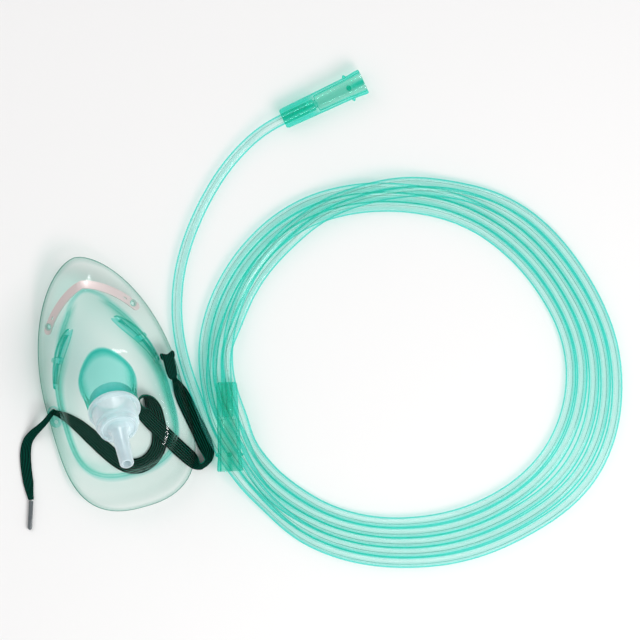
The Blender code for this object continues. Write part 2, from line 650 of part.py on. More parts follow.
def make_adapter():
    """Hollow turned adapter: plug in the cup, collar, body, ring, and a tapered tube spigot."""
    plug = CUP_MOUTH_RADIUS - SHELL_WALL - SEAT_GAP
    collar_low, collar_high = SEAT_GAP, SEAT_GAP + COLLAR_HEIGHT
    body_end = collar_high + BODY_HEIGHT
    ring_low = body_end + 1.0 * MM
    ring_end = ring_low + RING_HEIGHT
    spigot_start = ring_end + CONE_HEIGHT
    tip = spigot_start + SPIGOT_LENGTH
    body = plug + 0.4 * MM
    profile = [
        (plug - 0.5 * MM, -ADAPTER_PLUG_DEPTH), (plug, -ADAPTER_PLUG_DEPTH + 0.8 * MM), (plug, collar_low),
        (COLLAR_RADIUS - 0.3 * MM, collar_low), (COLLAR_RADIUS, collar_low + 0.4 * MM),
        (COLLAR_RADIUS, collar_high - 0.6 * MM), (COLLAR_RADIUS - 0.6 * MM, collar_high),
        (body, collar_high + 0.2 * MM), (body - 0.3 * MM, body_end),
        (RING_RADIUS, ring_low), (RING_RADIUS, ring_end - 0.6 * MM), (RING_RADIUS - 0.5 * MM, ring_end),
        (RING_RADIUS - 1.6 * MM, ring_end), (RING_RADIUS - 2.0 * MM, ring_end - 0.7 * MM),
        (CONE_RADIUS, ring_end - 0.6 * MM), (SPIGOT_ROOT_RADIUS + 0.3 * MM, spigot_start - 0.6 * MM),
        (SPIGOT_ROOT_RADIUS, spigot_start), (SPIGOT_TIP_RADIUS, tip - 0.5 * MM),
        (SPIGOT_TIP_RADIUS - 0.4 * MM, tip), (SPIGOT_BORE_RADIUS, tip),
        (SPIGOT_BORE_RADIUS, ring_end - 0.7 * MM - ADAPTER_WALL),
        (RING_RADIUS - ADAPTER_WALL, ring_end - 0.7 * MM - ADAPTER_WALL),
        (RING_RADIUS - ADAPTER_WALL, ring_low - ADAPTER_WALL * 0.5),
        (body - 0.3 * MM - ADAPTER_WALL, body_end - ADAPTER_WALL * 0.5),
        (plug - ADAPTER_WALL, collar_high), (plug - ADAPTER_WALL, -ADAPTER_PLUG_DEPTH),
    ]
    made = turned("swivel_adapter", profile, Matrix.Identity(4), segments=28)
    made.matrix_world = port_frame()
    return painted(smooth(made), (0.86, 0.9, 0.95), 0.3, alpha=0.85)


def curve_point(points, position):
    """Point and heading on a smooth curve through the given points, at a fractional index."""
    i = min(int(position), len(points) - 2)
    t = position - i
    b, c = points[i], points[i + 1]
    a = points[i - 1] if i else b * 2 - c
    d = points[i + 2] if i + 2 < len(points) else c * 2 - b
    p1, p2, p3 = c - a, 2 * a - 5 * b + 4 * c - d, 3 * b - a - 3 * c + d
    return 0.5 * (2 * b + p1 * t + p2 * t**2 + p3 * t**3), (p1 + 2 * p2 * t + 3 * p3 * t**2).normalized()


def make_strap():
    """The flat elastic, swept along its route. It bunches up where it passes an eyelet."""
    points = [Vector(row[:3]) * MM for row in STRAP_ROUTE]
    shapes = [Vector(row[3:]) for row in STRAP_ROUTE]
    rings = []
    for k in range((len(points) - 1) * STRAP_STEPS + 1):
        centre, heading = curve_point(points, k / STRAP_STEPS)
        low = min(int(k / STRAP_STEPS), len(points) - 2)
        share, turn, lean = shapes[low].lerp(shapes[low + 1], k / STRAP_STEPS - low)
        turn, lean = math.radians(turn), math.radians(lean)
        across = Vector((math.cos(turn) * math.cos(lean), math.sin(turn) * math.cos(lean), math.sin(lean)))
        across = (across - heading * across.dot(heading)).normalized()
        up = heading.cross(across)
        half = (STRAP_BUNCH_WIDTH + (STRAP_WIDTH - STRAP_BUNCH_WIDTH) * share) / 2
        thick = (STRAP_BUNCH_THICKNESS + (STRAP_THICKNESS - STRAP_BUNCH_THICKNESS) * min(share * 3, 1)) / 2
        ring = []
        for i in range(STRAP_CORNERS):
            angle = 2 * math.pi * (i + 0.5) / STRAP_CORNERS
            c, s = math.cos(angle), math.sin(angle)
            out = math.copysign(abs(c) ** 0.45, c) * half
            rise = math.copysign(abs(s) ** 0.45, s) * thick
            ring.append(centre + across * out + up * rise)
        rings.append(ring)
    strap = facing_out(lofted("head_strap", rings, close_ends=True))
    return painted(smooth(strap, 50), (0.02, 0.06, 0.05), 0.7)


def make_strap_tip():
    """The hard tip on the strap's free end, in line with it."""
    end, heading = curve_point([Vector(row[:3]) * MM for row in STRAP_ROUTE], len(STRAP_ROUTE) - 1)
    heading = Vector((-0.39, -0.92, 0)).normalized().lerp(heading, 0.25)
    heading.z = 0
    heading.normalize()
    start = end + heading * (SEAT_GAP * 2)
    start.z = TIP_RADIUS + 0.1 * MM
    profile = [
        (TIP_RADIUS * 0.8, 0), (TIP_RADIUS, 0.4 * MM), (TIP_RADIUS, TIP_LENGTH - 1.2 * MM),
        (TIP_RADIUS * 0.75, TIP_LENGTH - 0.4 * MM), (TIP_RADIUS * 0.3, TIP_LENGTH),
    ]
    place = axes_at(start, heading, Vector((0, 0, 1)))
    rings = []
    for radius, height in profile:
        rings.append([
            place @ Vector((radius * math.cos(a), radius * math.sin(a), height))
            for a in (2 * math.pi * i / 14 for i in range(14))
        ])
    tip = facing_out(lofted("strap_tip", rings, close_ends=True))
    return painted(smooth(tip), (0.16, 0.18, 0.2), 0.35)


def connector_place(at, heading):
    """Matrix at a connector's narrow end: Z runs to its mouth, and both ends touch the table."""
    tilt = math.asin((CONNECTOR_MOUTH_RADIUS - CONNECTOR_NARROW_RADIUS - CONNECTOR_RIB_HEIGHT) / CONNECTOR_LENGTH)
    lift = (CONNECTOR_NARROW_RADIUS + CONNECTOR_RIB_HEIGHT + 0.2 * MM) / math.cos(tilt)
    way = Vector((math.cos(heading) * math.cos(tilt), math.sin(heading) * math.cos(tilt), math.sin(tilt)))
    return axes_at(at + Vector((0, 0, lift)), way, Vector((0, 0, 1)))


def make_connector(name, at, heading):
    """Funnel connector: ribbed tube socket, stepped body, knobbed ring and a flared mouth."""
    length = CONNECTOR_LENGTH
    plain, ribbed, knobbed = 0, CONNECTOR_RIB_HEIGHT, 0.9 * MM
    narrow, body, mouth = CONNECTOR_NARROW_RADIUS, CONNECTOR_BODY_RADIUS, CONNECTOR_MOUTH_RADIUS
    socket = TUBE_RADIUS + SEAT_GAP
    profile = [
        (socket, CONNECTOR_SOCKET_DEPTH, plain), (socket, 0, plain), (narrow - 0.6 * MM, 0, plain),
        (narrow - 0.2 * MM, 0.6 * MM, plain), (narrow, 1.4 * MM, ribbed), (narrow, 16.5 * MM, ribbed),
        (narrow - 0.1 * MM, 17.3 * MM, plain), (narrow, 20 * MM, plain), (body, 21 * MM, plain),
        (body - 0.2 * MM, 24 * MM, plain), (body - 0.4 * MM, 34 * MM, plain),
        (body - 0.3 * MM, 35.2 * MM, plain), (body - 0.2 * MM, 35.4 * MM, knobbed),
        (body - 0.1 * MM, 37.2 * MM, knobbed), (body, 37.4 * MM, plain),
        (mouth - 0.3 * MM, length - 4 * MM, plain), (mouth, length - 1.5 * MM, plain),
        (mouth - 0.3 * MM, length, plain), (CONNECTOR_MOUTH_BORE, length, plain),
        (CONNECTOR_MOUTH_BORE - 0.8 * MM, length - 16 * MM, plain),
        (CONNECTOR_NECK_RADIUS, length - 21 * MM, plain),
        (CONNECTOR_NECK_RADIUS, CONNECTOR_SOCKET_DEPTH, plain),
    ]
    place = connector_place(at, heading)
    segments = 32
    rings = []
    for radius, height, bump in profile:
        ring = []
        for i in range(segments):
            angle = 2 * math.pi * i / segments
            wide = bump if (bump == ribbed and i % 4 == 0) or (bump == knobbed and i % 8 == 0) else 0
            ring.append(place @ Vector(((radius + wide) * math.cos(angle), (radius + wide) * math.sin(angle), height)))
        rings.append(ring)
    made = facing_out(lofted(name, rings, close_loop=True))
    return painted(smooth(made), (0.25, 0.8, 0.68), 0.25, alpha=0.7)


def make_lead():
    """The straight run of the supply tube, from inside the free connector to the coil."""
    place = connector_place(FREE_CONNECTOR_AT, FREE_CONNECTOR_HEADING)
    start = place @ Vector((0, 0, TUBE_SEAT_DEPTH))
    points = [start, place @ Vector((0, 0, 0)), place @ Vector((0, 0, -6 * MM))]
    points += [Vector(row) * MM for row in LEAD_ROUTE]
    count = 42
    curve = bpy.data.curves.new("supply_tube_lead", "CURVE")
    curve.dimensions = "3D"
    curve.bevel_depth = TUBE_RADIUS
    curve.bevel_resolution = 2
    curve.use_fill_caps = True
    spline = curve.splines.new("POLY")
    spline.points.add(count)
    for k, slot in enumerate(spline.points):
        centre, _ = curve_point(points, k * (len(points) - 1) / count)
        slot.co = (*centre, 1)
    lead = bpy.data.objects.new("supply_tube_lead", curve)
    bpy.context.scene.collection.objects.link(lead)
    return painted(lead, (0.55, 0.88, 0.8), 0.2, alpha=0.6)


def coil_section(angle):
    """Inner radius, outer radius and height of the coil at an angle from its own +X."""
    spot = (angle / (2 * math.pi) % 1) * len(COIL_INNER)
    i, t = int(spot), spot - int(spot)
    inner, width = (
        sum(table[(i + shift) % len(table)] * weight for shift, weight in zip((-1, 0, 1, 2), spline_weights(t)))
        for table in (COIL_INNER, COIL_WIDTH)
    )
    off = abs((angle - COIL_HUMP_AT + math.pi) % (2 * math.pi) - math.pi)
    height = COIL_HEIGHT + COIL_HUMP * (1 - smooth_share(off, COIL_HUMP_SPREAD * 0.4, COIL_HUMP_SPREAD * 1.25))
    return inner * MM, (inner + width) * MM, height


def spline_weights(t):
    """Weights of four neighbours for a smooth curve through the middle two."""
    return (
        0.5 * (-t + 2 * t**2 - t**3), 0.5 * (2 - 5 * t**2 + 3 * t**3),
        0.5 * (t + 4 * t**2 - 3 * t**3), 0.5 * (t**3 - t**2),
    )


def make_coil():
    """The outer shape of the coiled tube. Its turns climb over the connector that lies under them."""
    rings = []
    for k in range(COIL_SECTIONS):
        angle = 2 * math.pi * k / COIL_SECTIONS
        inner, outer, height = coil_section(angle)
        edge = TUBE_RADIUS * 0.8
        section = [
            (inner + edge, 0), (outer - edge, 0), (outer, edge), (outer, height - edge),
            (outer - edge, height), (inner + edge, height), (inner, height - edge), (inner, edge),
        ]
        way = Vector((math.cos(angle + COIL_TURN), math.sin(angle + COIL_TURN), 0))
        rings.append([COIL_CENTRE + way * radius + Vector((0, 0, z)) for radius, z in section])
    coil = facing_out(lofted("supply_tube_coil", rings, close_loop=True))
    clear = CONNECTOR_MOUTH_RADIUS + 1.2 * MM
    side = Vector((math.cos(COILED_CONNECTOR_HEADING), math.sin(COILED_CONNECTOR_HEADING), 0))
    start = COILED_CONNECTOR_AT - side * 14 * MM
    place = axes_at(start + Vector((0, 0, CONNECTOR_MOUTH_RADIUS)), side, Vector((0, 0, 1)))
    arch = [Vector((-clear - 2 * MM, -clear, 0)), Vector((-clear - 2 * MM, clear, 0))]
    arch += [Vector((clear * math.sin(a), clear * math.cos(a), 0)) for a in (math.pi * k / 10 for k in range(11))]
    outline = [place @ p for p in arch]
    far = side * (CONNECTOR_LENGTH + 40 * MM)
    tunnel = facing_out(lofted("connector_tunnel", [outline, [p + far for p in outline]], close_ends=True))
    combine(coil, tunnel, "DIFFERENCE")
    return painted(smooth(coil, 30), (0.3, 0.82, 0.72), 0.2, alpha=0.75)


def main():
    for old in list(bpy.data.objects):
        bpy.data.objects.remove(old)
    rings = shell_rings()
    skin = Skin(rings)
    line = ClipLine(skin)
    make_shell(skin, rings, line)
    make_clip(line)
    make_adapter()
    make_strap()
    make_strap_tip()
    make_connector("connector_free", FREE_CONNECTOR_AT, FREE_CONNECTOR_HEADING)
    make_connector("connector_coiled", COILED_CONNECTOR_AT, COILED_CONNECTOR_HEADING)
    make_lead()
    make_coil()


main()
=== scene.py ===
"""Looks of a clear oxygen mask with its strap and its coiled supply tube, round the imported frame."""

import logging
import math
from contextlib import contextmanager
from dataclasses import dataclass, field
from enum import Enum
from typing import Any, Callable, Iterator, Sequence

import bpy
import numpy as np
from mathutils import Matrix, Vector
from mathutils.bvhtree import BVHTree


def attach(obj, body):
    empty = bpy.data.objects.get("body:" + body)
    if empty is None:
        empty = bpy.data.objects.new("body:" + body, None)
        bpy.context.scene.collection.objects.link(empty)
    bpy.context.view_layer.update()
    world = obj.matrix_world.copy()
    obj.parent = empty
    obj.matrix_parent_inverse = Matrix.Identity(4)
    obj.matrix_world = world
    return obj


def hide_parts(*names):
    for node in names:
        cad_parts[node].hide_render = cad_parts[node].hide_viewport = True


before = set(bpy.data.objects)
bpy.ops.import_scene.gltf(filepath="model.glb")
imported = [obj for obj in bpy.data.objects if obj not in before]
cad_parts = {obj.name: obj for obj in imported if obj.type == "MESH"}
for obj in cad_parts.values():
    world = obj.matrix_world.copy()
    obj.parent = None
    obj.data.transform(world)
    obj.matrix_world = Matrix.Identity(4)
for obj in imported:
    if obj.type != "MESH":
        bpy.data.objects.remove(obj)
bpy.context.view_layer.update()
log = logging.getLogger("oxygen_mask")

Piece = bpy.types.Object
Colour = tuple[float, float, float]
# Start, size and power of a rise
Rises = tuple[tuple[float, float, float], ...]


class Slot(Enum):
    """The record's material slots."""

    SHELL = "clear_shell"
    CLIP = "clip_metal"
    ADAPTER = "adapter_plastic"
    STRAP = "strap_elastic"
    TIP = "tip_plastic"
    CONNECTOR = "connector_plastic"
    TUBE = "tube_plastic"


class Body(Enum):
    """The bodies that pieces ride on."""

    MASK = "mask"
    ADAPTER = "adapter"


class Cut(Enum):
    """The ways in which one moulding changes another."""

    JOIN = "UNION"
    HOLE = "DIFFERENCE"


class Wire:
    """An output socket. Python's operators work on one that gives numbers, and add Math nodes."""

    def __init__(self, graph: "Graph", socket: bpy.types.NodeSocket | None) -> None:
        """Wraps an output socket of the graph."""
        self.graph = graph
        self.socket = socket

    def maths(self, operation: str, other: "Wire | float" = 0.0, swap: bool = False) -> "Wire":
        """Adds one Math node.

        Args:
            operation: Blender's name of the operation.
            other: The second value.
            swap: Puts the second value first.

        Returns:
            The result.
        """
        pair = [other, self] if swap else [self, other]
        return self.graph.node("ShaderNodeMath", {"operation": operation}, pair)

    def __add__(self, other: "Wire | float") -> "Wire":
        """Sum."""
        return self.maths("ADD", other)

    __radd__ = __add__

    def __mul__(self, other: "Wire | float") -> "Wire":
        """Product."""
        return self.maths("MULTIPLY", other)

    __rmul__ = __mul__

    def __sub__(self, other: "Wire | float") -> "Wire":
        """Difference."""
        return self.maths("SUBTRACT", other)

    def __rsub__(self, other: "Wire | float") -> "Wire":
        """Difference, reflected."""
        return self.maths("SUBTRACT", other, swap=True)

    def __pow__(self, other: "Wire | float") -> "Wire":
        """Power."""
        return self.maths("POWER", other)

    def between(self, low: float, high: float) -> "Wire":
        """Smooth 0 to 1 from low to high."""
        settings = {"interpolation_type": "SMOOTHSTEP"}
        return self.graph.node("ShaderNodeMapRange", settings, [self, low, high, 0.0, 1.0])


class Graph:
    """The nodes of one material."""

    def __init__(self, name: str) -> None:
        """Starts an empty material."""
        self.material = bpy.data.materials.new(name)
        self.material.use_nodes = True
        self.tree = self.material.node_tree
        self.tree.nodes.clear()

    def node(
        self, kind: str, settings: dict[str, Any] | None = None,
        inputs: Sequence[Any] | dict[Any, Any] = (), output: int | str = 0,
    ) -> Wire:
        """Adds a node, sets it and wires its inputs.

        Args:
            kind: The node's type.
            settings: Its settings, set before its inputs.
            inputs: Values or wires by name or number, or in order.
            output: Which output to return.

        Returns:
            The chosen output as a Wire, or an empty Wire for a node that has none.
        """
        made = self.tree.nodes.new(kind)
        for key, value in (settings or {}).items():
            setattr(made, key, value)
        pairs = inputs.items() if isinstance(inputs, dict) else enumerate(inputs)
        for key, value in pairs:
            if isinstance(value, Wire):
                self.tree.links.new(value.socket, made.inputs[key])
            elif isinstance(value, tuple) and len(value) == 3 and made.inputs[key].type == "RGBA":
                made.inputs[key].default_value = (*value, 1.0)
            elif value is not None:
                made.inputs[key].default_value = value
        return Wire(self, made.outputs[output] if len(made.outputs) else None)

    def place(self) -> Wire:
        """Object coordinates."""
        return self.node("ShaderNodeTexCoord", output="Object")

    def map(self, name: str) -> tuple[Wire, Wire]:
        """The two numbers of a UV map."""
        place = self.node("ShaderNodeUVMap", {"uv_map": name})
        first, second = (self.node("ShaderNodeSeparateXYZ", inputs=[place], output=i) for i in (0, 1))
        return first, second

    def noise(self, scale: float, detail: float = 2.0, where: Wire | None = None) -> Wire:
        """Noise from 0 to 1 at a scale in features per metre."""
        where = where or self.place()
        inputs = {"Vector": where, "Scale": scale, "Detail": detail}
        return self.node("ShaderNodeTexNoise", inputs=inputs)

    def mix(self, share: Wire | float, first: Any, second: Any) -> Wire:
        """Colour between first and second."""
        return self.node("ShaderNodeMix", {"data_type": "RGBA"}, {0: share, 6: first, 7: second}, 2)

    def bump(self, height: Wire, distance: float, strength: float = 1.0) -> Wire:
        """Normal from a height, in metres of distance."""
        return self.node(
            "ShaderNodeBump", inputs={"Height": height, "Distance": distance, "Strength": strength}
        )

    def principled(self, inputs: dict[str, Any]) -> Wire:
        """The general surface shader."""
        return self.node("ShaderNodeBsdfPrincipled", inputs=inputs)

    def blend(self, share: Wire | float, first: Wire, second: Wire) -> Wire:
        """Shader between first and second."""
        return self.node("ShaderNodeMixShader", inputs=[share, first, second])

    def finish(self, surface: Wire) -> bpy.types.Material:
        """Wires the surface to the output and returns the material."""
        self.node("ShaderNodeOutputMaterial", inputs={"Surface": surface})
        return self.material


def darker(colour: Colour, share: float) -> Colour:
    """The colour times a share."""
    red, green, blue = (value * share for value in colour)
    return red, green, blue


@dataclass(frozen=True)
class ClearPlastic:
    """A clear tinted plastic. Each face that light crosses tints it, more so at a slant.

    U of the map "tint" says where the plastic is thick, and V where a dark edge tint is painted: painted
    shade along edges, creases and holes that are seen edge on. The cover is the share of cloudy plastic,
    face on and at a slant, and the edge says how slanted a slant is.
    """

    name: str
    through: Colour
    slanted: Colour
    thick: Colour
    # Painted shade: the dark tint that V of the map "tint" lays along edges, creases and holes
    painted_edge_shade: Colour
    body: Colour
    cover: float
    cover_edge: float
    edge: tuple[float, float] = (0.3, 0.95)
    roughness: float = 0.1
    gloss: float = 0.4
    sheen: float = 0.008
    mirror_power: float = 5.0
    waviness: float = 0.0
    wave_depth: float = 0.001
    wave_scale: float = 90.0
    cloud_limits: tuple[float, float] = (0.35, 0.65)
    cloud_dark: float = 0.9
    body_roughness: float = 0.35

    def make(self) -> bpy.types.Material:
        """Builds the material."""
        g = Graph(self.name)
        cloud = g.noise(self.wave_scale, 3.0)
        normal = g.bump(cloud, self.wave_depth, self.waviness) if self.waviness else None
        facing = g.node("ShaderNodeLayerWeight", inputs={"Blend": 0.5}, output="Facing")
        edge = facing.between(*self.edge)
        thick, painted_edge_shade = g.map("tint")
        films = [
            g.node("ShaderNodeBsdfTransparent", inputs={"Color": colour})
            for colour in (self.through, self.slanted, self.thick, self.painted_edge_shade)
        ]
        clear = g.blend(thick, g.blend(edge, films[0], films[1]), films[2])
        # Painted shade: V of the map blends in the dark edge tint
        clear = g.blend(painted_edge_shade, clear, films[3])
        body = g.principled({
            "Base Color": g.mix(
                cloud.between(*self.cloud_limits), self.body, darker(self.body, self.cloud_dark)
            ),
            "Roughness": self.body_roughness, "Normal": normal,
        })
        share = edge * (self.cover_edge - self.cover) + self.cover
        shine = g.node("ShaderNodeBsdfAnisotropic", inputs={
            "Color": (1.0, 1.0, 1.0), "Roughness": self.roughness, "Normal": normal,
        })
        mirror = facing**self.mirror_power * self.gloss + self.sheen
        return g.finish(g.blend(mirror, g.blend(share, clear, body), shine))


@dataclass(frozen=True)
class SolidPlastic:
    """An opaque moulded plastic."""

    name: str
    colour: Colour
    roughness: float = 0.4
    # How much the roughness changes, and how far below its value it starts
    uneven: tuple[float, float] = (0.15, 0.07)
    grain: float = 0.15
    grain_scale: float = 2500.0
    grain_depth: float = 0.0001
    patch_scale: float = 60.0
    patch_limits: tuple[float, float] = (0.3, 0.7)
    patch_dark: float = 0.82

    def make(self) -> bpy.types.Material:
        """Builds the material."""
        g = Graph(self.name)
        fine = g.noise(self.grain_scale, 4.0)
        broad = g.noise(self.patch_scale)
        dark = darker(self.colour, self.patch_dark)
        change, below = self.uneven
        return g.finish(g.principled({
            "Base Color": g.mix(broad.between(*self.patch_limits), dark, self.colour),
            "Roughness": broad * change + (self.roughness - below),
            "Normal": g.bump(fine, self.grain_depth, self.grain),
        }))


@dataclass(frozen=True)
class BrushedStrip:
    """Soft aluminium strip with fine drawing marks and a few dents."""

    name: str
    colour: Colour
    roughness: float = 0.48
    uneven: tuple[float, float] = (0.18, 0.09)
    metallic: float = 0.3
    specular: float = 0.15
    mark_scale: float = 900.0
    mark_stretch: tuple[float, float, float] = (1.0, 1.0, 6.0)
    mark_height: float = 0.4
    mark_dark: float = 0.86
    dent_scale: float = 140.0
    relief: tuple[float, float] = (0.0006, 0.35)

    def make(self) -> bpy.types.Material:
        """Builds the material."""
        g = Graph(self.name)
        along = {"Vector": g.place(), "Scale": self.mark_stretch}
        marks = g.noise(self.mark_scale, 5.0, g.node("ShaderNodeMapping", inputs=along))
        dents = g.noise(self.dent_scale, 1.0)
        change, below = self.uneven
        return g.finish(g.principled({
            "Base Color": g.mix(marks, darker(self.colour, self.mark_dark), self.colour),
            "Metallic": self.metallic, "Specular IOR Level": self.specular,
            "Roughness": marks * change + (self.roughness - below),
            "Normal": g.bump(marks * self.mark_height + dents, *self.relief),
        }))


@dataclass(frozen=True)
class RibbedElastic:
    """Knitted elastic: dark, with a lighter line along each rib, and threads across.

    U of the map "ribbon" runs across, and V along, in metres.
    """

    name: str
    colour: Colour
    line: Colour
    ribs: int
    sharpness: float = 12.0
    threads_per_metre: float = 1400.0
    fuzz_scale: float = 3000.0
    roughness: float = 0.8
    specular: float = 0.04
    relief: tuple[float, float] = (0.0001, 0.5)

    def make(self) -> bpy.types.Material:
        """Builds the material."""
        g = Graph(self.name)
        across, along = g.map("ribbon")
        rib = (across * (2 * math.pi * self.ribs)).maths("COSINE") * 0.5 + 0.5
        thread = (along * (2 * math.pi * self.threads_per_metre)).maths("SINE") * 0.5 + 0.5
        fuzz = g.noise(self.fuzz_scale, 3.0)
        return g.finish(g.principled({
            "Base Color": g.mix(rib**self.sharpness * (fuzz * 0.5 + 0.7), self.colour, self.line),
            "Roughness": self.roughness, "Specular IOR Level": self.specular,
            "Normal": g.bump(thread * 0.6 + fuzz * 0.4, *self.relief),
        }))


# In each finish the fourth colour is the dark tint of painted edge shade
SHELL_FINISH = ClearPlastic(
    "soft_clear_moulding", through=(0.95, 0.975, 0.965), slanted=(0.08, 0.74, 0.62),
    thick=(0.08, 0.84, 0.77), painted_edge_shade=(0.01, 0.42, 0.33), body=(0.62, 0.84, 0.76), cover=0.0,
    cover_edge=0.08, edge=(0.36, 0.95), roughness=0.07, waviness=0.03, wave_scale=30.0,
)
ADAPTER_FINISH = ClearPlastic(
    "milky_turned_plastic", through=(0.92, 0.97, 0.985), slanted=(0.88, 0.95, 1.0),
    thick=(0.8, 0.88, 0.95), painted_edge_shade=(0.6, 0.7, 0.8), body=(0.84, 0.95, 0.98), cover=0.36,
    cover_edge=0.95, edge=(0.1, 0.9), roughness=0.2, sheen=0.02, waviness=0.05,
)
CONNECTOR_FINISH = ClearPlastic(
    "clear_green_moulding", through=(0.83, 0.955, 0.925), slanted=(0.06, 0.87, 0.78),
    thick=(0.16, 0.89, 0.81), painted_edge_shade=(0.02, 0.50, 0.42), body=(0.0, 0.86, 0.72), cover=0.02,
    cover_edge=0.4, edge=(0.3, 0.75), roughness=0.09, gloss=0.2, sheen=0.012, waviness=0.02,
    wave_scale=60.0,
)
TUBE_FINISH = ClearPlastic(
    "clear_green_tubing", through=(0.98, 0.995, 0.992), slanted=(0.40, 0.92, 0.87),
    thick=(0.98, 0.995, 0.992), painted_edge_shade=(0.20, 0.46, 0.40), body=(0.20, 0.90, 0.82), cover=0.0,
    cover_edge=0.10, edge=(0.15, 0.42), roughness=0.15, gloss=0.15,
)
CLIP_FINISH = BrushedStrip("bent_aluminium", (0.72, 0.62, 0.61))
STRAP_RIBS = 7
STRAP_FINISH = RibbedElastic(
    "ribbed_elastic", (0.0006, 0.004, 0.0035), (0.001, 0.17, 0.11), STRAP_RIBS
)
TIP_FINISH = SolidPlastic("hard_dark_plastic", (0.12, 0.14, 0.15), roughness=0.3)


def placed(name: str, data: Any) -> Piece:
    """A new object in the scene, with this data."""
    made = bpy.data.objects.new(name, data)
    bpy.context.scene.collection.objects.link(made)
    return made


def calm() -> None:
    """Leaves nothing selected and no object in edit mode."""
    if bpy.context.object and bpy.context.object.mode != "OBJECT":
        bpy.ops.object.mode_set(mode="OBJECT")
    bpy.ops.object.select_all(action="DESELECT")


def activate(piece: Piece) -> None:
    """Makes the piece the only one selected, and active."""
    calm()
    piece.select_set(True)
    bpy.context.view_layer.objects.active = piece


@contextmanager
def editing(piece: Piece) -> Iterator[None]:
    """Edit mode on the piece, with all of it selected."""
    activate(piece)
    bpy.ops.object.mode_set(mode="EDIT")
    bpy.ops.mesh.select_all(action="SELECT")
    yield
    bpy.ops.object.mode_set(mode="OBJECT")


def smooth(piece: Piece, degrees: float = 35.0) -> None:
    """Shades smooth, but keeps edges sharper than the angle."""
    activate(piece)
    bpy.ops.object.shade_smooth_by_angle(angle=math.radians(degrees))


def dress(
    piece: Piece, finish: Any, body: Body, nodes: Sequence[str] = ()
) -> Piece:
    """Gives a finished piece its material and body.

    Args:
        piece: The piece.
        finish: Its finish.
        body: The body it rides on.
        nodes: The CAD nodes it stands for.

    Returns:
        The piece.
    """
    piece.data.materials.clear()
    piece.data.materials.append(bpy.data.materials.get(finish.name) or finish.make())
    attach(piece, body.value)
    if nodes:
        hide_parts(*nodes)
    log.info("%s: %d faces", piece.name, len(piece.data.polygons))
    return piece


def node_skin(node: str, name: str, degrees: float) -> Piece:
    """A welded, smoothly shaded copy of a CAD node.

    Args:
        node: The CAD node.
        name: The new piece's name.
        degrees: Edges sharper than this stay sharp.

    Returns:
        The copy.
    """
    skin = placed(name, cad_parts[node].data.copy())
    limits = {"face_threshold": math.radians(5), "shape_threshold": math.radians(40)}
    with editing(skin):
        bpy.ops.mesh.remove_doubles(threshold=0.000002)
        bpy.ops.mesh.customdata_custom_splitnormals_clear()
        bpy.ops.mesh.tris_convert_to_quads(**limits)
    smooth(skin, degrees)
    return skin


def quads_between(rings: int, wide: int) -> list[tuple[int, ...]]:
    """The faces from ring to ring, where each ring has this many points."""
    return [
        (r * wide + c, r * wide + (c + 1) % wide, (r + 1) * wide + (c + 1) % wide, (r + 1) * wide + c)
        for r in range(rings - 1) for c in range(wide)
    ]


def swept(
    name: str, rings: Sequence[Sequence[Vector]], uv_name: str,
    uvs: Callable[[int, int], tuple[float, float]], capped: bool = True,
) -> Piece:
    """A mesh through rings of equal count, with a UV map.

    Args:
        name: The piece's name.
        rings: Points of each ring.
        uv_name: The UV map's name.
        uvs: Gives the UV of a ring and a corner. The corner may be one past the last.
        capped: Closes both ends.

    Returns:
        The piece.
    """
    wide, last = len(rings[0]), len(rings) - 1
    points = [tuple(p) for ring in rings for p in ring]
    faces = quads_between(len(rings), wide)
    coords = []
    for r in range(last):
        for c in range(wide):
            coords += [uvs(r, c), uvs(r, c + 1), uvs(r + 1, c + 1), uvs(r + 1, c)]
    if capped:
        faces.append(tuple(reversed(range(wide))))
        coords += [uvs(0, c) for c in reversed(range(wide))]
        faces.append(tuple(last * wide + c for c in range(wide)))
        coords += [uvs(last, c) for c in range(wide)]
    mesh = bpy.data.meshes.new(name)
    mesh.from_pydata(points, [], faces)
    layer = mesh.uv_layers.new(name=uv_name)
    layer.data.foreach_set("uv", [value for pair in coords for value in pair])
    return facing_out(placed(name, mesh))


def facing_out(piece: Piece, merge: float = 0.0) -> Piece:
    """Merges doubles, where asked to, and points all faces outwards."""
    with editing(piece):
        if merge:
            bpy.ops.mesh.remove_doubles(threshold=merge)
        bpy.ops.mesh.normals_make_consistent(inside=False)
    return piece


def turned(
    name: str, profile: Sequence[tuple[float, float]], segments: int, solid: bool = False
) -> Piece:
    """A piece turned about Z: a circle that is extruded and scaled from point to point.

    Args:
        name: The piece's name.
        profile: Radius and height of each point. The last point closes onto the first one.
        segments: How many sides it has.
        solid: Closes the first and last circle with a flat end instead.

    Returns:
        The piece.
    """
    calm()
    points = list(profile) if solid else [*profile, profile[0]]
    radius, height = points[0]
    bpy.ops.mesh.primitive_circle_add(vertices=segments, radius=radius, location=(0, 0, height))
    piece = bpy.context.object
    piece.name = name
    bpy.ops.object.transform_apply(location=True, rotation=True, scale=True)
    with editing(piece):
        for wide, high in points[1:]:
            share = wide / radius
            bpy.ops.mesh.extrude_region_move(TRANSFORM_OT_translate={"value": (0, 0, high - height)})
            bpy.ops.transform.resize(value=(share, share, 1), center_override=(0, 0, high))
            radius, height = wide, high
        if solid:
            bpy.ops.mesh.select_all(action="SELECT")
            bpy.ops.mesh.fill_holes(sides=0)
    return facing_out(piece, 0.000001)


def stud(
    name: str, profile: Sequence[tuple[float, float]], segments: int, place: Matrix
) -> Piece:
    """A solid turned piece, put in its place."""
    piece = turned(name, profile, segments, solid=True)
    piece.data.transform(place)
    return facing_out(piece)


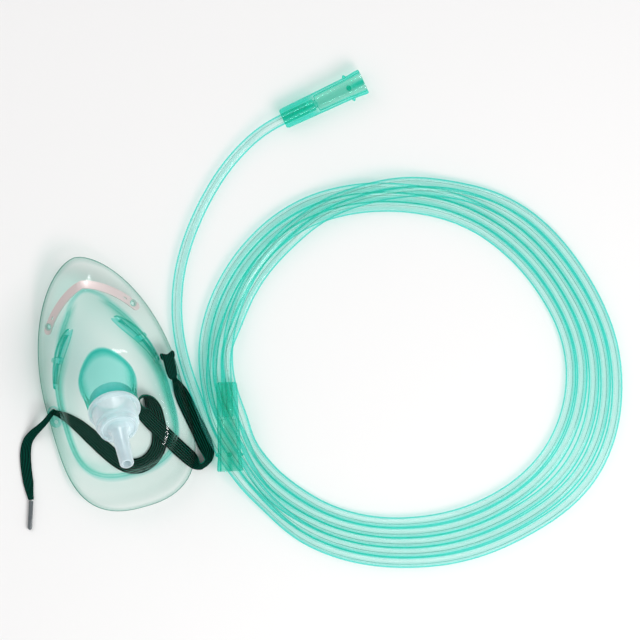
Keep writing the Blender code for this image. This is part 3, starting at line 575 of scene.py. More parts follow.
def settle_modifier(piece: Piece, kind: str, **settings: Any) -> None:
    """Adds a modifier with the settings and applies it."""
    activate(piece)
    added = piece.modifiers.new(kind.lower(), kind)
    for key, value in settings.items():
        setattr(added, key, value)
    bpy.ops.object.modifier_apply(modifier=added.name)


def soft_edges(piece: Piece, width: float, degrees: float = 35.0) -> None:
    """Rounds the edges sharper than the angle."""
    settle_modifier(
        piece, "BEVEL", width=width, segments=2, limit_method="ANGLE", angle_limit=math.radians(degrees)
    )


def joined(pieces: Sequence[Piece]) -> Piece:
    """Makes one piece of several. The first one's name stays."""
    activate(pieces[0])
    for piece in pieces:
        piece.select_set(True)
    bpy.ops.object.join()
    return pieces[0]


def cut(target: Piece, others: Sequence[Piece], way: Cut) -> None:
    """Moulds the other pieces onto the target, or cuts them out of it."""
    other = joined(others)
    settle_modifier(target, "BOOLEAN", operation=way.value, solver="EXACT", object=other)
    bpy.data.objects.remove(other)


def tinted(
    piece: Piece, thick: float | Callable[[Vector], float], painted_edge_shade: float = 0.0
) -> Piece:
    """Writes the piece's map "tint".

    Args:
        piece: The piece.
        thick: How thick the plastic looks, from 0 to 1, or what gives it at a place.
        painted_edge_shade: How much painted shade of an edge seen edge on it gets, from 0 to 1.

    Returns:
        The piece.
    """
    mesh = piece.data
    for layer in list(mesh.uv_layers):
        mesh.uv_layers.remove(layer)
    layer = mesh.uv_layers.new(name="tint")
    for loop in mesh.loops:
        value = thick(mesh.vertices[loop.vertex_index].co) if callable(thick) else thick
        layer.data[loop.index].uv = (value, painted_edge_shade)
    return piece


def curve_point(points: Sequence[Vector], position: float) -> tuple[Vector, Vector]:
    """Point and heading on a smooth curve through the points, at a fractional index."""
    i = min(int(position), len(points) - 2)
    t = position - i
    b, c = points[i], points[i + 1]
    a = points[i - 1] if i else b * 2 - c
    d = points[i + 2] if i + 2 < len(points) else c * 2 - b
    p1, p2, p3 = c - a, 2 * a - 5 * b + 4 * c - d, 3 * b - a - 3 * c + d
    return 0.5 * (2 * b + p1 * t + p2 * t**2 + p3 * t**3), (p1 + 2 * p2 * t + 3 * p3 * t**2).normalized()


def axes_at(point: Vector, normal: Vector, along: Vector) -> Matrix:
    """Matrix at a point, with Z on the normal and X near the given direction."""
    z = normal.normalized()
    y = z.cross(along).normalized()
    return Matrix.Translation(point) @ Matrix((y.cross(z), y, z)).transposed().to_4x4()


def soft_share(x: float, low: float, high: float) -> float:
    """0 below low, 1 above high, with a soft start and end."""
    t = min(max((x - low) / (high - low), 0), 1)
    return t * t * (3 - 2 * t)


def rise_past(y: float, start: float, end: float, power: float) -> float:
    """0 before start, 1 at end, on a power curve."""
    return max((y - start) / (end - start), 0) ** power


@dataclass(frozen=True)
class Egg:
    """A closed outline about the Y axis: rounded at the nose end, squarer at the chin end."""

    half_width: float
    widest_y: float
    nose_reach: float
    chin_reach: float
    nose_power: float = 0.6
    chin_powers: tuple[int, float] = (4, 0.4)

    @property
    def nose(self) -> float:
        """Y of its end at the nose."""
        return self.widest_y + self.nose_reach

    @property
    def chin(self) -> float:
        """Y of its end at the chin."""
        return self.widest_y - self.chin_reach

    def half_width_at(self, y: float) -> float:
        """Half of its width at a height of the outline."""
        if y >= self.widest_y:
            t = min((y - self.widest_y) / self.nose_reach, 1)
            return self.half_width * (1 - t**2) ** self.nose_power
        t = min((self.widest_y - y) / self.chin_reach, 1)
        inner, outer = self.chin_powers
        return self.half_width * (1 - t**inner) ** outer

    def shrunk(self, by: float) -> "Egg":
        """The outline this far inside."""
        reaches = self.nose_reach - by, self.chin_reach - by
        return Egg(self.half_width - by, self.widest_y, *reaches, self.nose_power)

    def points(self, count: int) -> list[Vector]:
        """Evenly spaced points, counter-clockwise from the nose end."""
        steps = 600
        middle, half = (self.nose + self.chin) / 2, (self.nose - self.chin) / 2
        heights = [middle + half * math.cos(math.pi * i / steps) for i in range(steps + 1)]
        side = np.array([(-self.half_width_at(y), y) for y in heights])
        walked = np.concatenate([[0], np.cumsum(np.linalg.norm(np.diff(side, axis=0), axis=1))])
        wanted = np.linspace(0, walked[-1], count // 2 + 1)
        left = [Vector((*(np.interp(w, walked, side[:, i]) for i in (0, 1)), 0)) for w in wanted]
        return left + [Vector((-p.x, p.y, 0)) for p in left[-2:0:-1]]


@dataclass
class MaskBody:
    """The soft shell with its vents, lugs and pegs, and the nose clip on it."""

    columns: int = 112
    wall: float = 0.0014
    lift: float = 0.0018
    flange: Egg = Egg(0.038, -0.006, 0.077, 0.065)
    foot: Egg = Egg(0.031, -0.010, 0.062, 0.042, 0.76)
    # How the flange and the foot rise to the nose and to the chin
    rim_rises: Rises = ((0.012, 0.012, 1.6), (0.028, 0.007, 1.6))
    foot_rises: Rises = ((0.0, 0.015, 1.8), (0.028, 0.005, 1.5))
    foot_lift: float = 0.004
    lip: float = 0.0022
    hem: float = 0.0004
    flange_steps: int = 6
    wall_steps: int = 14
    roof_steps: int = 10
    cup_steps: int = 5
    # How far in the wall turns into the roof, at the chin and at the nose, the Y from which and to
    # which it changes, and the most that it may take of the way to the cup
    wall_run: tuple[float, float] = (0.008, 0.020)
    wall_change: tuple[float, float] = (-0.006, 0.040)
    wall_most: float = 0.6
    wall_squareness: float = 2.4
    front_top: tuple[float, float] = (0.014, 0.046)
    front_tilt: float = math.radians(22)
    front_crown: float = 0.075
    front_blend: float = 0.005
    ridge_rise: float = 0.025
    ridge_power: float = 0.9
    ridge_slope: float = 0.55
    ridge_round: float = 0.009
    port_y: float = -0.0015
    port_elevation: float = math.radians(43)
    cup_radii: tuple[float, float] = (0.0136, 0.0152)
    cup_length: float = 0.0175
    vent_at: tuple[float, float] = (0.019, 0.0248)
    vent_half: tuple[float, float] = (0.013, 0.0039)
    vent_climb: float = 0.26
    vent_power: float = 2.2
    vent_grow: float = 1.4
    vent_frame: tuple[float, float] = (0.0017, 0.0013)
    # How far the frame and the slots reach along the vent, how deep the frame goes past the wall, and
    # how much further the slots are cut
    vent_ends: tuple[float, float] = (0.965, 0.93)
    vent_sink: float = 0.00055
    vent_cut: float = 0.0015
    bridge: float = 0.0032
    lug_at: tuple[float, float] = (0.0344, -0.0102)
    lug_spacing: float = 0.0058
    lug_size: tuple[float, float] = (0.0031, 0.0019)
    lug_holes: tuple[float, float] = (0.0022, 0.0012)
    peg_at: tuple[float, float, float] = (0.02327, 0.03812, 0.01002)
    peg_way: tuple[float, float, float] = (0.587, 0.0836, 0.8052)
    # Half of the width of the fold over the bridge of the nose, and the Y where it starts
    fold: tuple[float, float] = (0.012, 0.040)
    clip_smoothing: float = 80.0

    def rim_height(self, y: float) -> float:
        """Height of the flange's top face at its outer edge."""
        return self.risen(self.lift + self.wall, self.flange, self.rim_rises, y)

    def foot_height(self, y: float) -> float:
        """Height of the line where the flange turns up into the wall."""
        return self.risen(self.lift + self.wall + self.foot_lift, self.foot, self.foot_rises, y)

    @staticmethod
    def risen(base: float, outline: Egg, rises: Rises, y: float) -> float:
        """Height of an outline that rises from its base to the nose and to the chin."""
        (nose_start, nose_rise, nose_power), (chin_start, chin_rise, chin_power) = rises
        up = nose_rise * rise_past(y, nose_start, outline.nose, nose_power)
        return base + up + chin_rise * rise_past(-y, chin_start, -outline.chin, chin_power)

    def roof_height(self, x: float, y: float) -> float:
        """Height of the roof: the lower of the nose ridge and the slanted front, blended."""
        top_y, top_z = self.front_top
        along = (self.foot.nose - y) / (self.foot.nose - top_y)
        ridge = top_z - self.ridge_rise * (1 - math.copysign(abs(along) ** self.ridge_power, along))
        ridge -= self.ridge_slope * (math.hypot(x, self.ridge_round) - self.ridge_round)
        front = top_z + math.tan(self.front_tilt) * (y - top_y) - x * x / (2 * self.front_crown)
        near = max(self.front_blend - abs(ridge - front), 0) / self.front_blend
        return self.lift + min(ridge, front) - near * near * self.front_blend / 4

    def run_at(self, y: float) -> float:
        """How far in the wall takes to turn into the roof."""
        low, high = self.wall_run
        return low + (high - low) * soft_share(y, *self.wall_change)

    def dome_height(self, foot_height: float, x: float, y: float, inset: float) -> float:
        """Height of the dome this far in from its foot."""
        left = 1 - min(inset / self.run_at(y), 1)
        full = (1 - left**self.wall_squareness) ** (1 / self.wall_squareness)
        return foot_height + (self.roof_height(x, y) - foot_height) * full

    def port(self) -> Matrix:
        """Matrix at the cup's mouth, with Z on the port's axis, pointing out."""
        axis = Vector((0, -math.cos(self.port_elevation), math.sin(self.port_elevation)))
        base = Vector((0, self.port_y, self.roof_height(0, self.port_y)))
        turn = Matrix.Rotation(math.pi / 2 - self.port_elevation, 4, "X")
        return Matrix.Translation(base + axis * self.cup_length) @ turn

    def cup_point(self, angle: float, depth: float) -> Vector:
        """Point on the cup's outside, at an angle from the nose side and a depth from the mouth."""
        radius = self.cup_radii[0] + (self.cup_radii[1] - self.cup_radii[0]) * depth / self.cup_length
        return self.port() @ Vector((-radius * math.sin(angle), radius * math.cos(angle), -depth))

    def cup_depth(self, angle: float) -> float:
        """Depth at which the cup's side line meets the roof."""
        low, high = -self.cup_length * 0.5, self.cup_length * 3
        for _ in range(40):
            middle = (low + high) / 2
            p = self.cup_point(angle, middle)
            low, high = (middle, high) if p.z > self.roof_height(p.x, p.y) else (low, middle)
        return low

    def skin_rings(self) -> tuple[list[list[Vector]], list[tuple[float, float]]]:
        """The shell's outer skin.

        Returns:
            Its rings from the flange's edge to the cup's mouth, and each one's place in the map "tint".
        """
        foot = self.foot.points(self.columns)
        angles = [2 * math.pi * i / self.columns for i in range(self.columns)]
        depths = [self.cup_depth(a) for a in angles]
        targets = [self.cup_point(a, d) for a, d in zip(angles, depths)]
        rings, tints = self.flange_rings(foot)
        steps = self.wall_steps + self.roof_steps
        for k in range(1, steps + 1):
            ring = [self.dome_point(start, target, k) for start, target in zip(foot, targets)]
            rings.append(ring)
            # The last roof ring, where the cup meets the roof, is tinted thick and gets painted shade
            # along the crease
            tints.append((0.0, 0.0) if k < steps else (0.8, 0.25))
        for k in range(1, self.cup_steps + 1):
            share = k / self.cup_steps
            rings.append([self.cup_point(a, d * (1 - share)) for a, d in zip(angles, depths)])
            tints.append((0.6 if k == self.cup_steps else 0.36, 0.0))
        return rings, tints

    def flange_rings(self, foot: list[Vector]) -> tuple[list[list[Vector]], list[tuple[float, float]]]:
        """The flange's rings from its edge to the foot of the wall, and their places in "tint"."""
        outlines = [self.flange, self.flange.shrunk(self.hem), self.flange.shrunk(self.lip)]
        edge, hem, lip = (egg.points(self.columns) for egg in outlines)
        rings = [
            [Vector((p.x, p.y, self.rim_height(q.y))) for p, q in zip(ring, edge)]
            for ring in (edge, hem, lip)
        ]
        # Painted shade: a dark line painted round the flange's edge, full on the edge ring and faint on
        # the hem
        tints = [(0.0, 1.0), (0.0, 0.2), (0.0, 0.0)]
        for k in range(1, self.flange_steps + 1):
            share = k / self.flange_steps
            ring = []
            for outer, inner in zip(rings[2], foot):
                p = outer.lerp(inner, share)
                ring.append(Vector((p.x, p.y, outer.z + (self.foot_height(inner.y) - outer.z) * share)))
            rings.append(ring)
            # The ring at the foot of the wall is tinted thicker and gets a little painted shade along the
            # fold
            tints.append((0.35, 0.12) if k == self.flange_steps else (0.0, 0.0))
        return rings, tints

    def dome_point(self, start: Vector, target: Vector, step: int) -> Vector:
        """Point of the dome at a step of the way from the foot to where the cup meets the roof."""
        way = Vector((target.x - start.x, target.y - start.y, 0))
        run = min(self.run_at(start.y), way.length * self.wall_most)
        if step <= self.wall_steps:
            inset = run * (1 - math.cos(math.pi / 2 * step / self.wall_steps))
        else:
            inset = run + (way.length - run) * (step - self.wall_steps) / self.roof_steps
        p = start + way.normalized() * inset
        last = step == self.wall_steps + self.roof_steps
        z = target.z if last else self.dome_height(self.foot_height(start.y), p.x, p.y, inset)
        return Vector((p.x, p.y, z))

    def lens(self, along: float, grow: float, level: int) -> tuple[float, float]:
        """Y and Z on the vent's lens. Along runs from -1 to 1, and the level is -1, 0 or 1."""
        reach, height = self.vent_half[0] + grow * self.vent_grow, self.vent_half[1] + grow
        up = level * (1 - min(abs(along), 1) ** self.vent_power)
        y, z = self.vent_at
        return y + reach * along, z + self.vent_climb * reach * along + height * up

    def beside(self, side: int, y: float, z: float) -> tuple[Vector, Vector]:
        """Point and normal where a level line from this side meets the skin."""
        point, normal, _, _ = self.skin.ray_cast(Vector((side * 0.1, y, z)), Vector((-side, 0, 0)))
        return point, normal

    def vent_way(self, side: int) -> Vector:
        """The direction out of the wall at the vent."""
        spots = [self.lens(along, 0, level) for along in (-0.6, 0, 0.6) for level in (1, -1)]
        return sum((self.beside(side, y, z)[1] for y, z in spots), Vector()).normalized()

    def bar(
        self, name: str, side: int, shares: Sequence[float], section: Sequence[tuple[float, float, int]],
        tint: tuple[float, float],
    ) -> Piece:
        """A lens-shaped bar through the side wall.

        Args:
            name: Its name.
            side: 1 or -1.
            shares: Places along the lens.
            section: Growth over the slot, rise off the skin and level of each corner.
            tint: Its place in the map "tint".

        Returns:
            The bar.
        """
        out = self.vent_way(side)
        rings = []
        for share in shares:
            ring = []
            for grow, rise, level in section:
                y, z = self.lens(share, grow, level)
                ring.append(self.beside(side, y, z)[0] + out * rise)
            rings.append(ring)
        return swept(name, rings, "tint", lambda r, c: tint)

    def vent(self, side: int) -> tuple[list[Piece], list[Piece]]:
        """The raised frame and the nub of one vent, and its two slots."""
        width, rise = self.vent_frame
        frame_end, slot_end = self.vent_ends
        inside = -self.wall - self.vent_sink
        frame_section = [
            (width, inside, -1), (width, inside, 0), (width, inside, 1), (width, rise * 0.5, 1),
            (width * 0.9, rise * 0.85, 1), (width * 0.6, rise, 1), (0.0, rise * 0.9, 0),
            (width * 0.6, rise, -1), (width * 0.9, rise * 0.85, -1), (width, rise * 0.5, -1),
        ]
        ends = [frame_end * math.sin(math.pi / 2 * i / 12) for i in range(-12, 13)]
        frame_bar = self.bar("vent_frame", side, ends, frame_section, (0.6, 0.0))
        low, high = inside - self.vent_cut, rise + self.vent_cut
        slot_section = [(0, low, -1), (0, low, 0), (0, low, 1), (0, high, 1), (0, high, 0), (0, high, -1)]
        start = self.bridge / 2 / self.vent_half[0]
        slots = []
        for end in (1, -1):
            eased = [math.sin(math.pi / 2 * i / 10) for i in range(11)]
            shares = [end * (start + (slot_end - start) * share) for share in eased]
            # The slots' walls are tinted thick and get painted shade inside the slots
            slots.append(self.bar("vent_slot", side, shares, slot_section, (0.45, 0.15)))
        place = axes_at(
            self.beside(side, *self.vent_at)[0], self.vent_way(side), Vector((0, 1, self.vent_climb))
        )
        nub = stud("vent_nub", [(0.0014, -0.0007), (0.00135, 0.0024), (0.0011, 0.0029)], 20, place)
        return [frame_bar, tinted(nub, 0.3)], slots

    def lug(self, side: int) -> tuple[Piece, list[Piece]]:
        """The oval boss on one cheek, and its two holes."""
        x, y = side * self.lug_at[0], self.lug_at[1]
        point, _, _, _ = self.skin.ray_cast(Vector((x, y, 0.2)), Vector((0, 0, -1)))
        radius, rise = self.lug_size
        base, top = point.z - self.wall * 0.6, point.z + rise
        rings = []
        for grow, z in ((1.0, base), (1.0, top - 0.0009), (0.96, top - 0.0004), (0.84, top)):
            ring = []
            for i in range(32):
                angle = 2 * math.pi * (i + 0.5) / 32
                reach = radius * math.sin(angle) + math.copysign(self.lug_spacing / 2, math.sin(angle))
                ring.append(Vector((x + radius * math.cos(angle) * grow, y + reach * grow, z)))
            rings.append(ring)
        boss = swept("strap_lug", rings, "tint", lambda r, c: (0.35, 0.0))
        holes = []
        for hole, shift in zip(self.lug_holes, (0.5, -0.5)):
            place = Matrix.Translation((x, y + self.lug_spacing * shift, 0))
            drill = stud("lug_drill", [(hole, base - 0.004), (hole, base + 0.008)], 28, place)
            # The holes' walls are tinted thick and get painted shade inside the holes
            holes.append(tinted(drill, 0.5, 0.3))
        return boss, holes

    def peg(self, side: int) -> Piece:
        """The headed peg that holds one end of the clip."""
        profile = [
            (0.0012, -0.0008), (0.0012, 0.0014), (0.0019, 0.00145), (0.0020, 0.0017), (0.0019, 0.0021),
            (0.0016, 0.0024), (0.0012, 0.0026),
        ]
        spot, out = (Vector((side * at[0], *at[1:])) for at in (self.peg_at, self.peg_way))
        return tinted(stud("clip_peg", profile, 20, axes_at(spot, out, Vector((0, 1, 0)))), 0.12)

    def round_nose(self, shell: Piece) -> None:
        """Rounds the flange's fold over the bridge of the nose, but not its edge."""
        with editing(shell):
            bpy.ops.mesh.select_all(action="DESELECT")
        half, start = self.fold
        edge_rings = 2
        for i, vertex in enumerate(shell.data.vertices):
            near = abs(vertex.co.x) < half and vertex.co.y > start
            vertex.select = near and i >= edge_rings * self.columns
        bpy.ops.object.mode_set(mode="EDIT")
        bpy.ops.mesh.vertices_smooth(factor=0.5, repeat=10)
        bpy.ops.object.mode_set(mode="OBJECT")

    def build(self) -> None:
        """Builds and dresses the shell and the clip."""
        rings, tints = self.skin_rings()
        points = [p for ring in rings for p in ring]
        self.skin = BVHTree.FromPolygons(points, quads_between(len(rings), self.columns))
        shell = swept("soft_shell", rings, "tint", lambda r, c: tints[r], capped=False)
        self.round_nose(shell)
        settle_modifier(shell, "SOLIDIFY", thickness=self.wall, offset=-1.0, use_even_offset=True)
        grown, nubs, holes = [], [], []
        for side in (1, -1):
            (frame_bar, nub), slots = self.vent(side)
            boss, drills = self.lug(side)
            grown += [frame_bar, boss]
            nubs += [nub, self.peg(side)]
            holes += slots + drills
        cut(shell, grown, Cut.JOIN)
        cut(shell, holes, Cut.HOLE)
        cut(shell, nubs, Cut.JOIN)
        smooth(shell, 42)
        dress(shell, SHELL_FINISH, Body.MASK, ["mask_shell"])
        clip = node_skin("nose_clip", "bent_clip", self.clip_smoothing)
        soft_edges(clip, 0.00012, 50)
        smooth(clip, self.clip_smoothing)
        dress(clip, CLIP_FINISH, Body.MASK, ["nose_clip"])


@dataclass
class TubeAdapter:
    """The turned adapter in the mask's port. Heights are outwards from the cup's mouth."""

    place: Matrix
    segments: int = 72
    wall: float = 0.0013
    plug: tuple[float, float] = (0.0119, 0.009)
    collar: tuple[float, float, float] = (0.0144, 0.0003, 0.0027)
    body: tuple[float, float] = (0.0123, 0.0117)
    ring: tuple[float, float, float] = (0.0107, 0.0127, 0.0159)
    spigot: tuple[float, float, float] = (0.0045, 0.0185, 0.0415)
    spigot_tip: float = 0.0038
    bore: float = 0.0024

    def profile(self) -> list[tuple[float, float]]:
        """Radius and height of each point, up the outside and back down the inside."""
        plug, depth = self.plug
        collar, low, high = self.collar
        body, body_end = self.body
        ring, ring_low, ring_end = self.ring
        root, start, tip = self.spigot
        floor = ring_end - 0.0007
        inner_body = body - 0.0003 - self.wall
        return [
            (plug - 0.0005, -depth), (plug, -depth + 0.0008), (plug, low), (collar - 0.0003, low),
            (collar, low + 0.0004), (collar, high - 0.0006), (collar - 0.0006, high),
            (body, high + 0.0002), (body - 0.0003, body_end), (ring, ring_low), (ring, ring_end - 0.0006),
            (ring - 0.0005, ring_end), (ring - 0.0016, ring_end), (ring - 0.002, floor),
            (0.0062, floor + 0.0001), (root + 0.0003, start - 0.0006), (root, start),
            (self.spigot_tip, tip - 0.0005), (self.spigot_tip - 0.0004, tip), (self.bore, tip),
            (self.bore, floor - self.wall), (ring - self.wall, floor - self.wall),
            (ring - self.wall, ring_low - self.wall / 2), (inner_body, body_end - self.wall / 2),
            (plug - self.wall, high), (plug - self.wall, -depth),
        ]

    def build(self) -> None:
        """Builds and dresses the adapter."""
        adapter = turned("port_adapter", self.profile(), self.segments)
        adapter.data.transform(self.place)
        facing_out(adapter)
        soft_edges(adapter, 0.00018)
        tinted(adapter, 0.0)
        smooth(adapter, 40)
        dress(adapter, ADAPTER_FINISH, Body.ADAPTER, ["swivel_adapter"])


@dataclass
class HeadStrap:
    """The ribbed elastic and its hard tip."""

    width: float = 0.0086
    thickness: float = 0.0012
    bunch_width: float = 0.0029
    bunch_thickness: float = 0.0016
    ribs: int = STRAP_RIBS
    rib_depth: float = 0.00013
    # The share of the width, at each edge, that is rounded
    rounding: float = 0.06
    steps: int = 5
    # x, y, z, share of the full width, and the direction of the width: round Z, then up
    route: tuple[tuple[float, ...], ...] = (
        (0.0343, -0.0024, 0.0089, 0.8, 0, -50), (0.0344, 0.0012, 0.0093, 0.9, 0, -50),
        (0.0344, 0.0042, 0.0099, 0.95, 0, -50), (0.0345, 0.0058, 0.0112, 0.95, 0, -49),
        (0.0345, 0.0047, 0.0126, 0.95, 0, -47), (0.0345, 0.0012, 0.0127, 0.95, 0, -46),
        (0.0343, -0.0028, 0.0116, 0.75, 0, -38), (0.0342, -0.0061, 0.0100, 0.35, 0, -15),
        (0.0344, -0.00725, 0.0076, 0.0, 0, 0), (0.0344, -0.0072, 0.0050, 0.0, 0, 0),
        (0.0344, -0.0073, 0.0026, 0.0, 0, 0), (0.0345, -0.0089, 0.00093, 0.05, 2, 0),
        (0.0352, -0.0122, 0.0008, 0.5, 5, 0), (0.0358, -0.0160, 0.00075, 0.85, 8, 0),
        (0.0366, -0.0210, 0.00075, 1.0, 9, 0), (0.0376, -0.0270, 0.00075, 1.0, 10, 0),
        (0.0388, -0.0338, 0.00075, 1.0, 10, 0), (0.0400, -0.0406, 0.0008, 1.0, 8, 0),
        (0.0409, -0.0470, 0.0015, 1.0, 0, -10), (0.0410, -0.0520, 0.0032, 1.0, -15, -35),
        (0.0394, -0.0564, 0.0047, 1.0, -55, -70), (0.0362, -0.0578, 0.0047, 1.0, -98, -72),
        (0.0333, -0.0556, 0.0034, 1.0, -138, -38), (0.0307, -0.0518, 0.0019, 1.0, -145, -10),
        (0.0274, -0.0466, 0.0022, 1.0, -149, 0), (0.0236, -0.0402, 0.0025, 1.0, -150, 0),
        (0.0198, -0.0338, 0.0026, 1.0, -150, 0), (0.0162, -0.0276, 0.0027, 1.0, -150, -3),
        (0.0132, -0.0220, 0.0032, 1.0, -156, -22), (0.0118, -0.0176, 0.0044, 1.0, -176, -60),
        (0.0126, -0.0138, 0.0049, 1.0, -215, -88), (0.0154, -0.0124, 0.0049, 1.0, -270, -96),
        (0.0180, -0.0146, 0.0044, 1.0, -325, -122), (0.0190, -0.0184, 0.0029, 1.0, -350, -152),
        (0.0192, -0.0228, 0.0011, 1.0, -355, -175), (0.0190, -0.0288, 0.00075, 1.0, -358, -180),
        (0.0182, -0.0356, 0.00075, 1.0, -373, -180), (0.0154, -0.0420, 0.00075, 1.0, -395, -180),
        (0.0100, -0.0468, 0.00075, 1.0, -420, -180), (0.0036, -0.0486, 0.00075, 1.0, -450, -180),
        (-0.0026, -0.0470, 0.00075, 1.0, -475, -180), (-0.0080, -0.0420, 0.00075, 1.0, -495, -180),
        (-0.0132, -0.0344, 0.00075, 1.0, -507, -180), (-0.0182, -0.0262, 0.00075, 0.95, -508, -180),
        (-0.0232, -0.0186, 0.00075, 0.75, -506, -180), (-0.0282, -0.0126, 0.00085, 0.4, -498, -180),
        (-0.0322, -0.0092, 0.00105, 0.1, -490, -180), (-0.0342, -0.0077, 0.0026, 0.0, -490, -180),
        (-0.0344, -0.0073, 0.0052, 0.0, -490, -180), (-0.0345, -0.0073, 0.0082, 0.0, -478, -180),
        (-0.0362, -0.0086, 0.0098, 0.0, -450, -180), (-0.0398, -0.0113, 0.0088, 0.05, -420, -180),
        (-0.0440, -0.0136, 0.0058, 0.15, -415, -180), (-0.0486, -0.0159, 0.0025, 0.3, -408, -180),
        (-0.0526, -0.0192, 0.0010, 0.45, -395, -180), (-0.0554, -0.0248, 0.00075, 0.55, -376, -180),
        (-0.0572, -0.0324, 0.00075, 0.55, -370, -180), (-0.0584, -0.0410, 0.00075, 0.5, -367, -180),
        (-0.0591, -0.0466, 0.0009, 0.2, -365, -180), (-0.0594, -0.0506, 0.0013, 0.0, -365, -180),
    )

    def section(self, half: float, thick: float) -> list[tuple[float, float, float]]:
        """The ribbed outline of the band: across, up, and U."""
        per_rib = 6
        count = self.ribs * per_rib
        depth = self.rib_depth * min(half / (self.width / 2), 1.0)
        top = []
        for i in range(count + 1):
            u = i / count
            round_off = min(u, 1 - u, self.rounding) / self.rounding
            rise = thick - depth
            if round_off < 1:
                rise *= math.sqrt(1 - (1 - round_off) ** 2)
            rise += depth * math.cos(2 * math.pi * u * self.ribs) * round_off
            top.append(((2 * u - 1) * half, max(rise, thick * 0.15), u))
        return [(x, z, u) for x, z, u in reversed(top)] + [(x, -z, u) for x, z, u in top]

    def build(self) -> None:
        """Builds and dresses the strap and its tip."""
        points = [Vector(row[:3]) for row in self.route]
        shapes = [Vector(row[3:]) for row in self.route]
        rings, walked, us, before = [], [], [], None
        for k in range((len(points) - 1) * self.steps + 1):
            centre, heading = curve_point(points, k / self.steps)
            low = min(k // self.steps, len(points) - 2)
            share, turn, lean = shapes[low].lerp(shapes[low + 1], k / self.steps - low)
            turn, lean = math.radians(turn), math.radians(lean)
            level = math.cos(lean)
            across = Vector((math.cos(turn) * level, math.sin(turn) * level, math.sin(lean)))
            across = (across - heading * across.dot(heading)).normalized()
            up = heading.cross(across)
            flat = min(share * 3, 1)
            half = (self.bunch_width + (self.width - self.bunch_width) * share) / 2
            thick = (self.bunch_thickness + (self.thickness - self.bunch_thickness) * flat) / 2
            outline = self.section(half, thick)
            us = [u for _, _, u in outline]
            rings.append([centre + across * x + up * z for x, z, _ in outline])
            walked.append((walked[-1] + (centre - before).length) if walked else 0.0)
            before = centre
        us.append(us[0])
        strap = swept("ribbed_strap", rings, "ribbon", lambda r, c: (us[c], walked[r]))
        smooth(strap, 50)
        dress(strap, STRAP_FINISH, Body.MASK, ["head_strap"])
        tip = node_skin("strap_tip", "hard_tip", 40)
        dress(tip, TIP_FINISH, Body.MASK, ["strap_tip"])


@dataclass
class FunnelConnector:
    """One funnel connector: tube socket, stop ring, wide bore, four nubs and a flared mouth."""

    name: str
    node: str
    at: tuple[float, float]
    heading: float
    tilt: float = 0.02449
    height: float = 0.0062
    length: float = 0.049
    segments: int = 48
    narrow: float = 0.0057
    mouth: float = 0.0072
    flare: float = 0.0006
    mouth_bore: float = 0.0059
    socket: float = 0.0033
    socket_depth: float = 0.019
    neck: float = 0.0022
    nub_at: float = 0.0400
    nub: float = 0.0018

    @property
    def start(self) -> Vector:
        """The middle of its narrow end."""
        return Vector((*self.at, self.height))

    @property
    def way(self) -> Vector:
        """Its direction, from the narrow end to the mouth."""
        level = math.sqrt(1 - self.tilt**2)
        return Vector((math.cos(self.heading) * level, math.sin(self.heading) * level, self.tilt))

    def radius(self, depth: float) -> float:
        """Outer radius at a distance from the narrow end: a straight taper, then a flare."""
        straight = self.narrow + (self.mouth - self.flare - self.narrow) * depth / self.length
        return straight + self.flare * soft_share(depth, self.nub_at, self.length - 0.001)

    def profile(self) -> list[tuple[float, float]]:
        """Radius and distance of each point, up the outside and back through the bore."""
        outside = [0.0012, 0.008, 0.016, 0.022, 0.03, self.nub_at, 0.0425, 0.0455, self.length - 0.0008]
        stop, wide, bore = self.socket_depth + 0.0014, self.mouth_bore - 0.0011, self.mouth_bore
        return [
            (self.narrow - 0.0007, 0.0), *((self.radius(d), d) for d in outside),
            (self.mouth - 0.0003, self.length), (bore, self.length),
            (bore - 0.0004, self.nub_at + 0.001), (bore - 0.0007, self.nub_at - 0.001),
            (wide, stop + 0.0007), (wide - 0.0004, stop), (self.neck + 0.0004, stop),
            (self.neck, stop - 0.0004), (self.neck, self.socket_depth + 0.0004),
            (self.neck + 0.0004, self.socket_depth), (self.socket, self.socket_depth), (self.socket, 0.0),
        ]

    def thick(self, spot: Vector) -> float:
        """How deep the tint is: in the ribs that grip the tube, and in the keys of the mouth."""
        angle, reach = math.atan2(spot.y, spot.x), math.hypot(spot.x, spot.y)
        if spot.z < self.socket_depth:
            return 0.4 + 0.4 * math.cos(8 * angle)
        if reach > self.radius(spot.z) + 0.0001 and spot.z < self.length - 0.002:
            return 0.9
        key = max(math.cos(4 * angle), 0) ** 4
        if spot.z > self.nub_at and reach > self.mouth_bore - 0.0001:
            return 0.6 * key
        return 0.0

    def build(self) -> Piece:
        """Builds and dresses the connector, and returns it."""
        body = turned(self.name, self.profile(), self.segments)
        soft_edges(body, 0.0002, 40)
        upward = Vector((0, 0, 1))
        shape = [(0.0014, -0.0004), (0.0010, 0.0005), (0.0002, self.nub - 0.0004)]
        nubs = []
        for k in range(4):
            angle = math.pi / 2 * k
            out = Vector((math.cos(angle), math.sin(angle), 0))
            spot = out * self.radius(self.nub_at) + Vector((0, 0, self.nub_at))
            nubs.append(stud("nub", shape, 10, axes_at(spot, out, upward)))
        body = joined([body, *nubs])
        tinted(body, self.thick)
        body.data.transform(axes_at(self.start, self.way, upward))
        smooth(body, 35)
        return dress(body, CONNECTOR_FINISH, Body.MASK, [self.node])


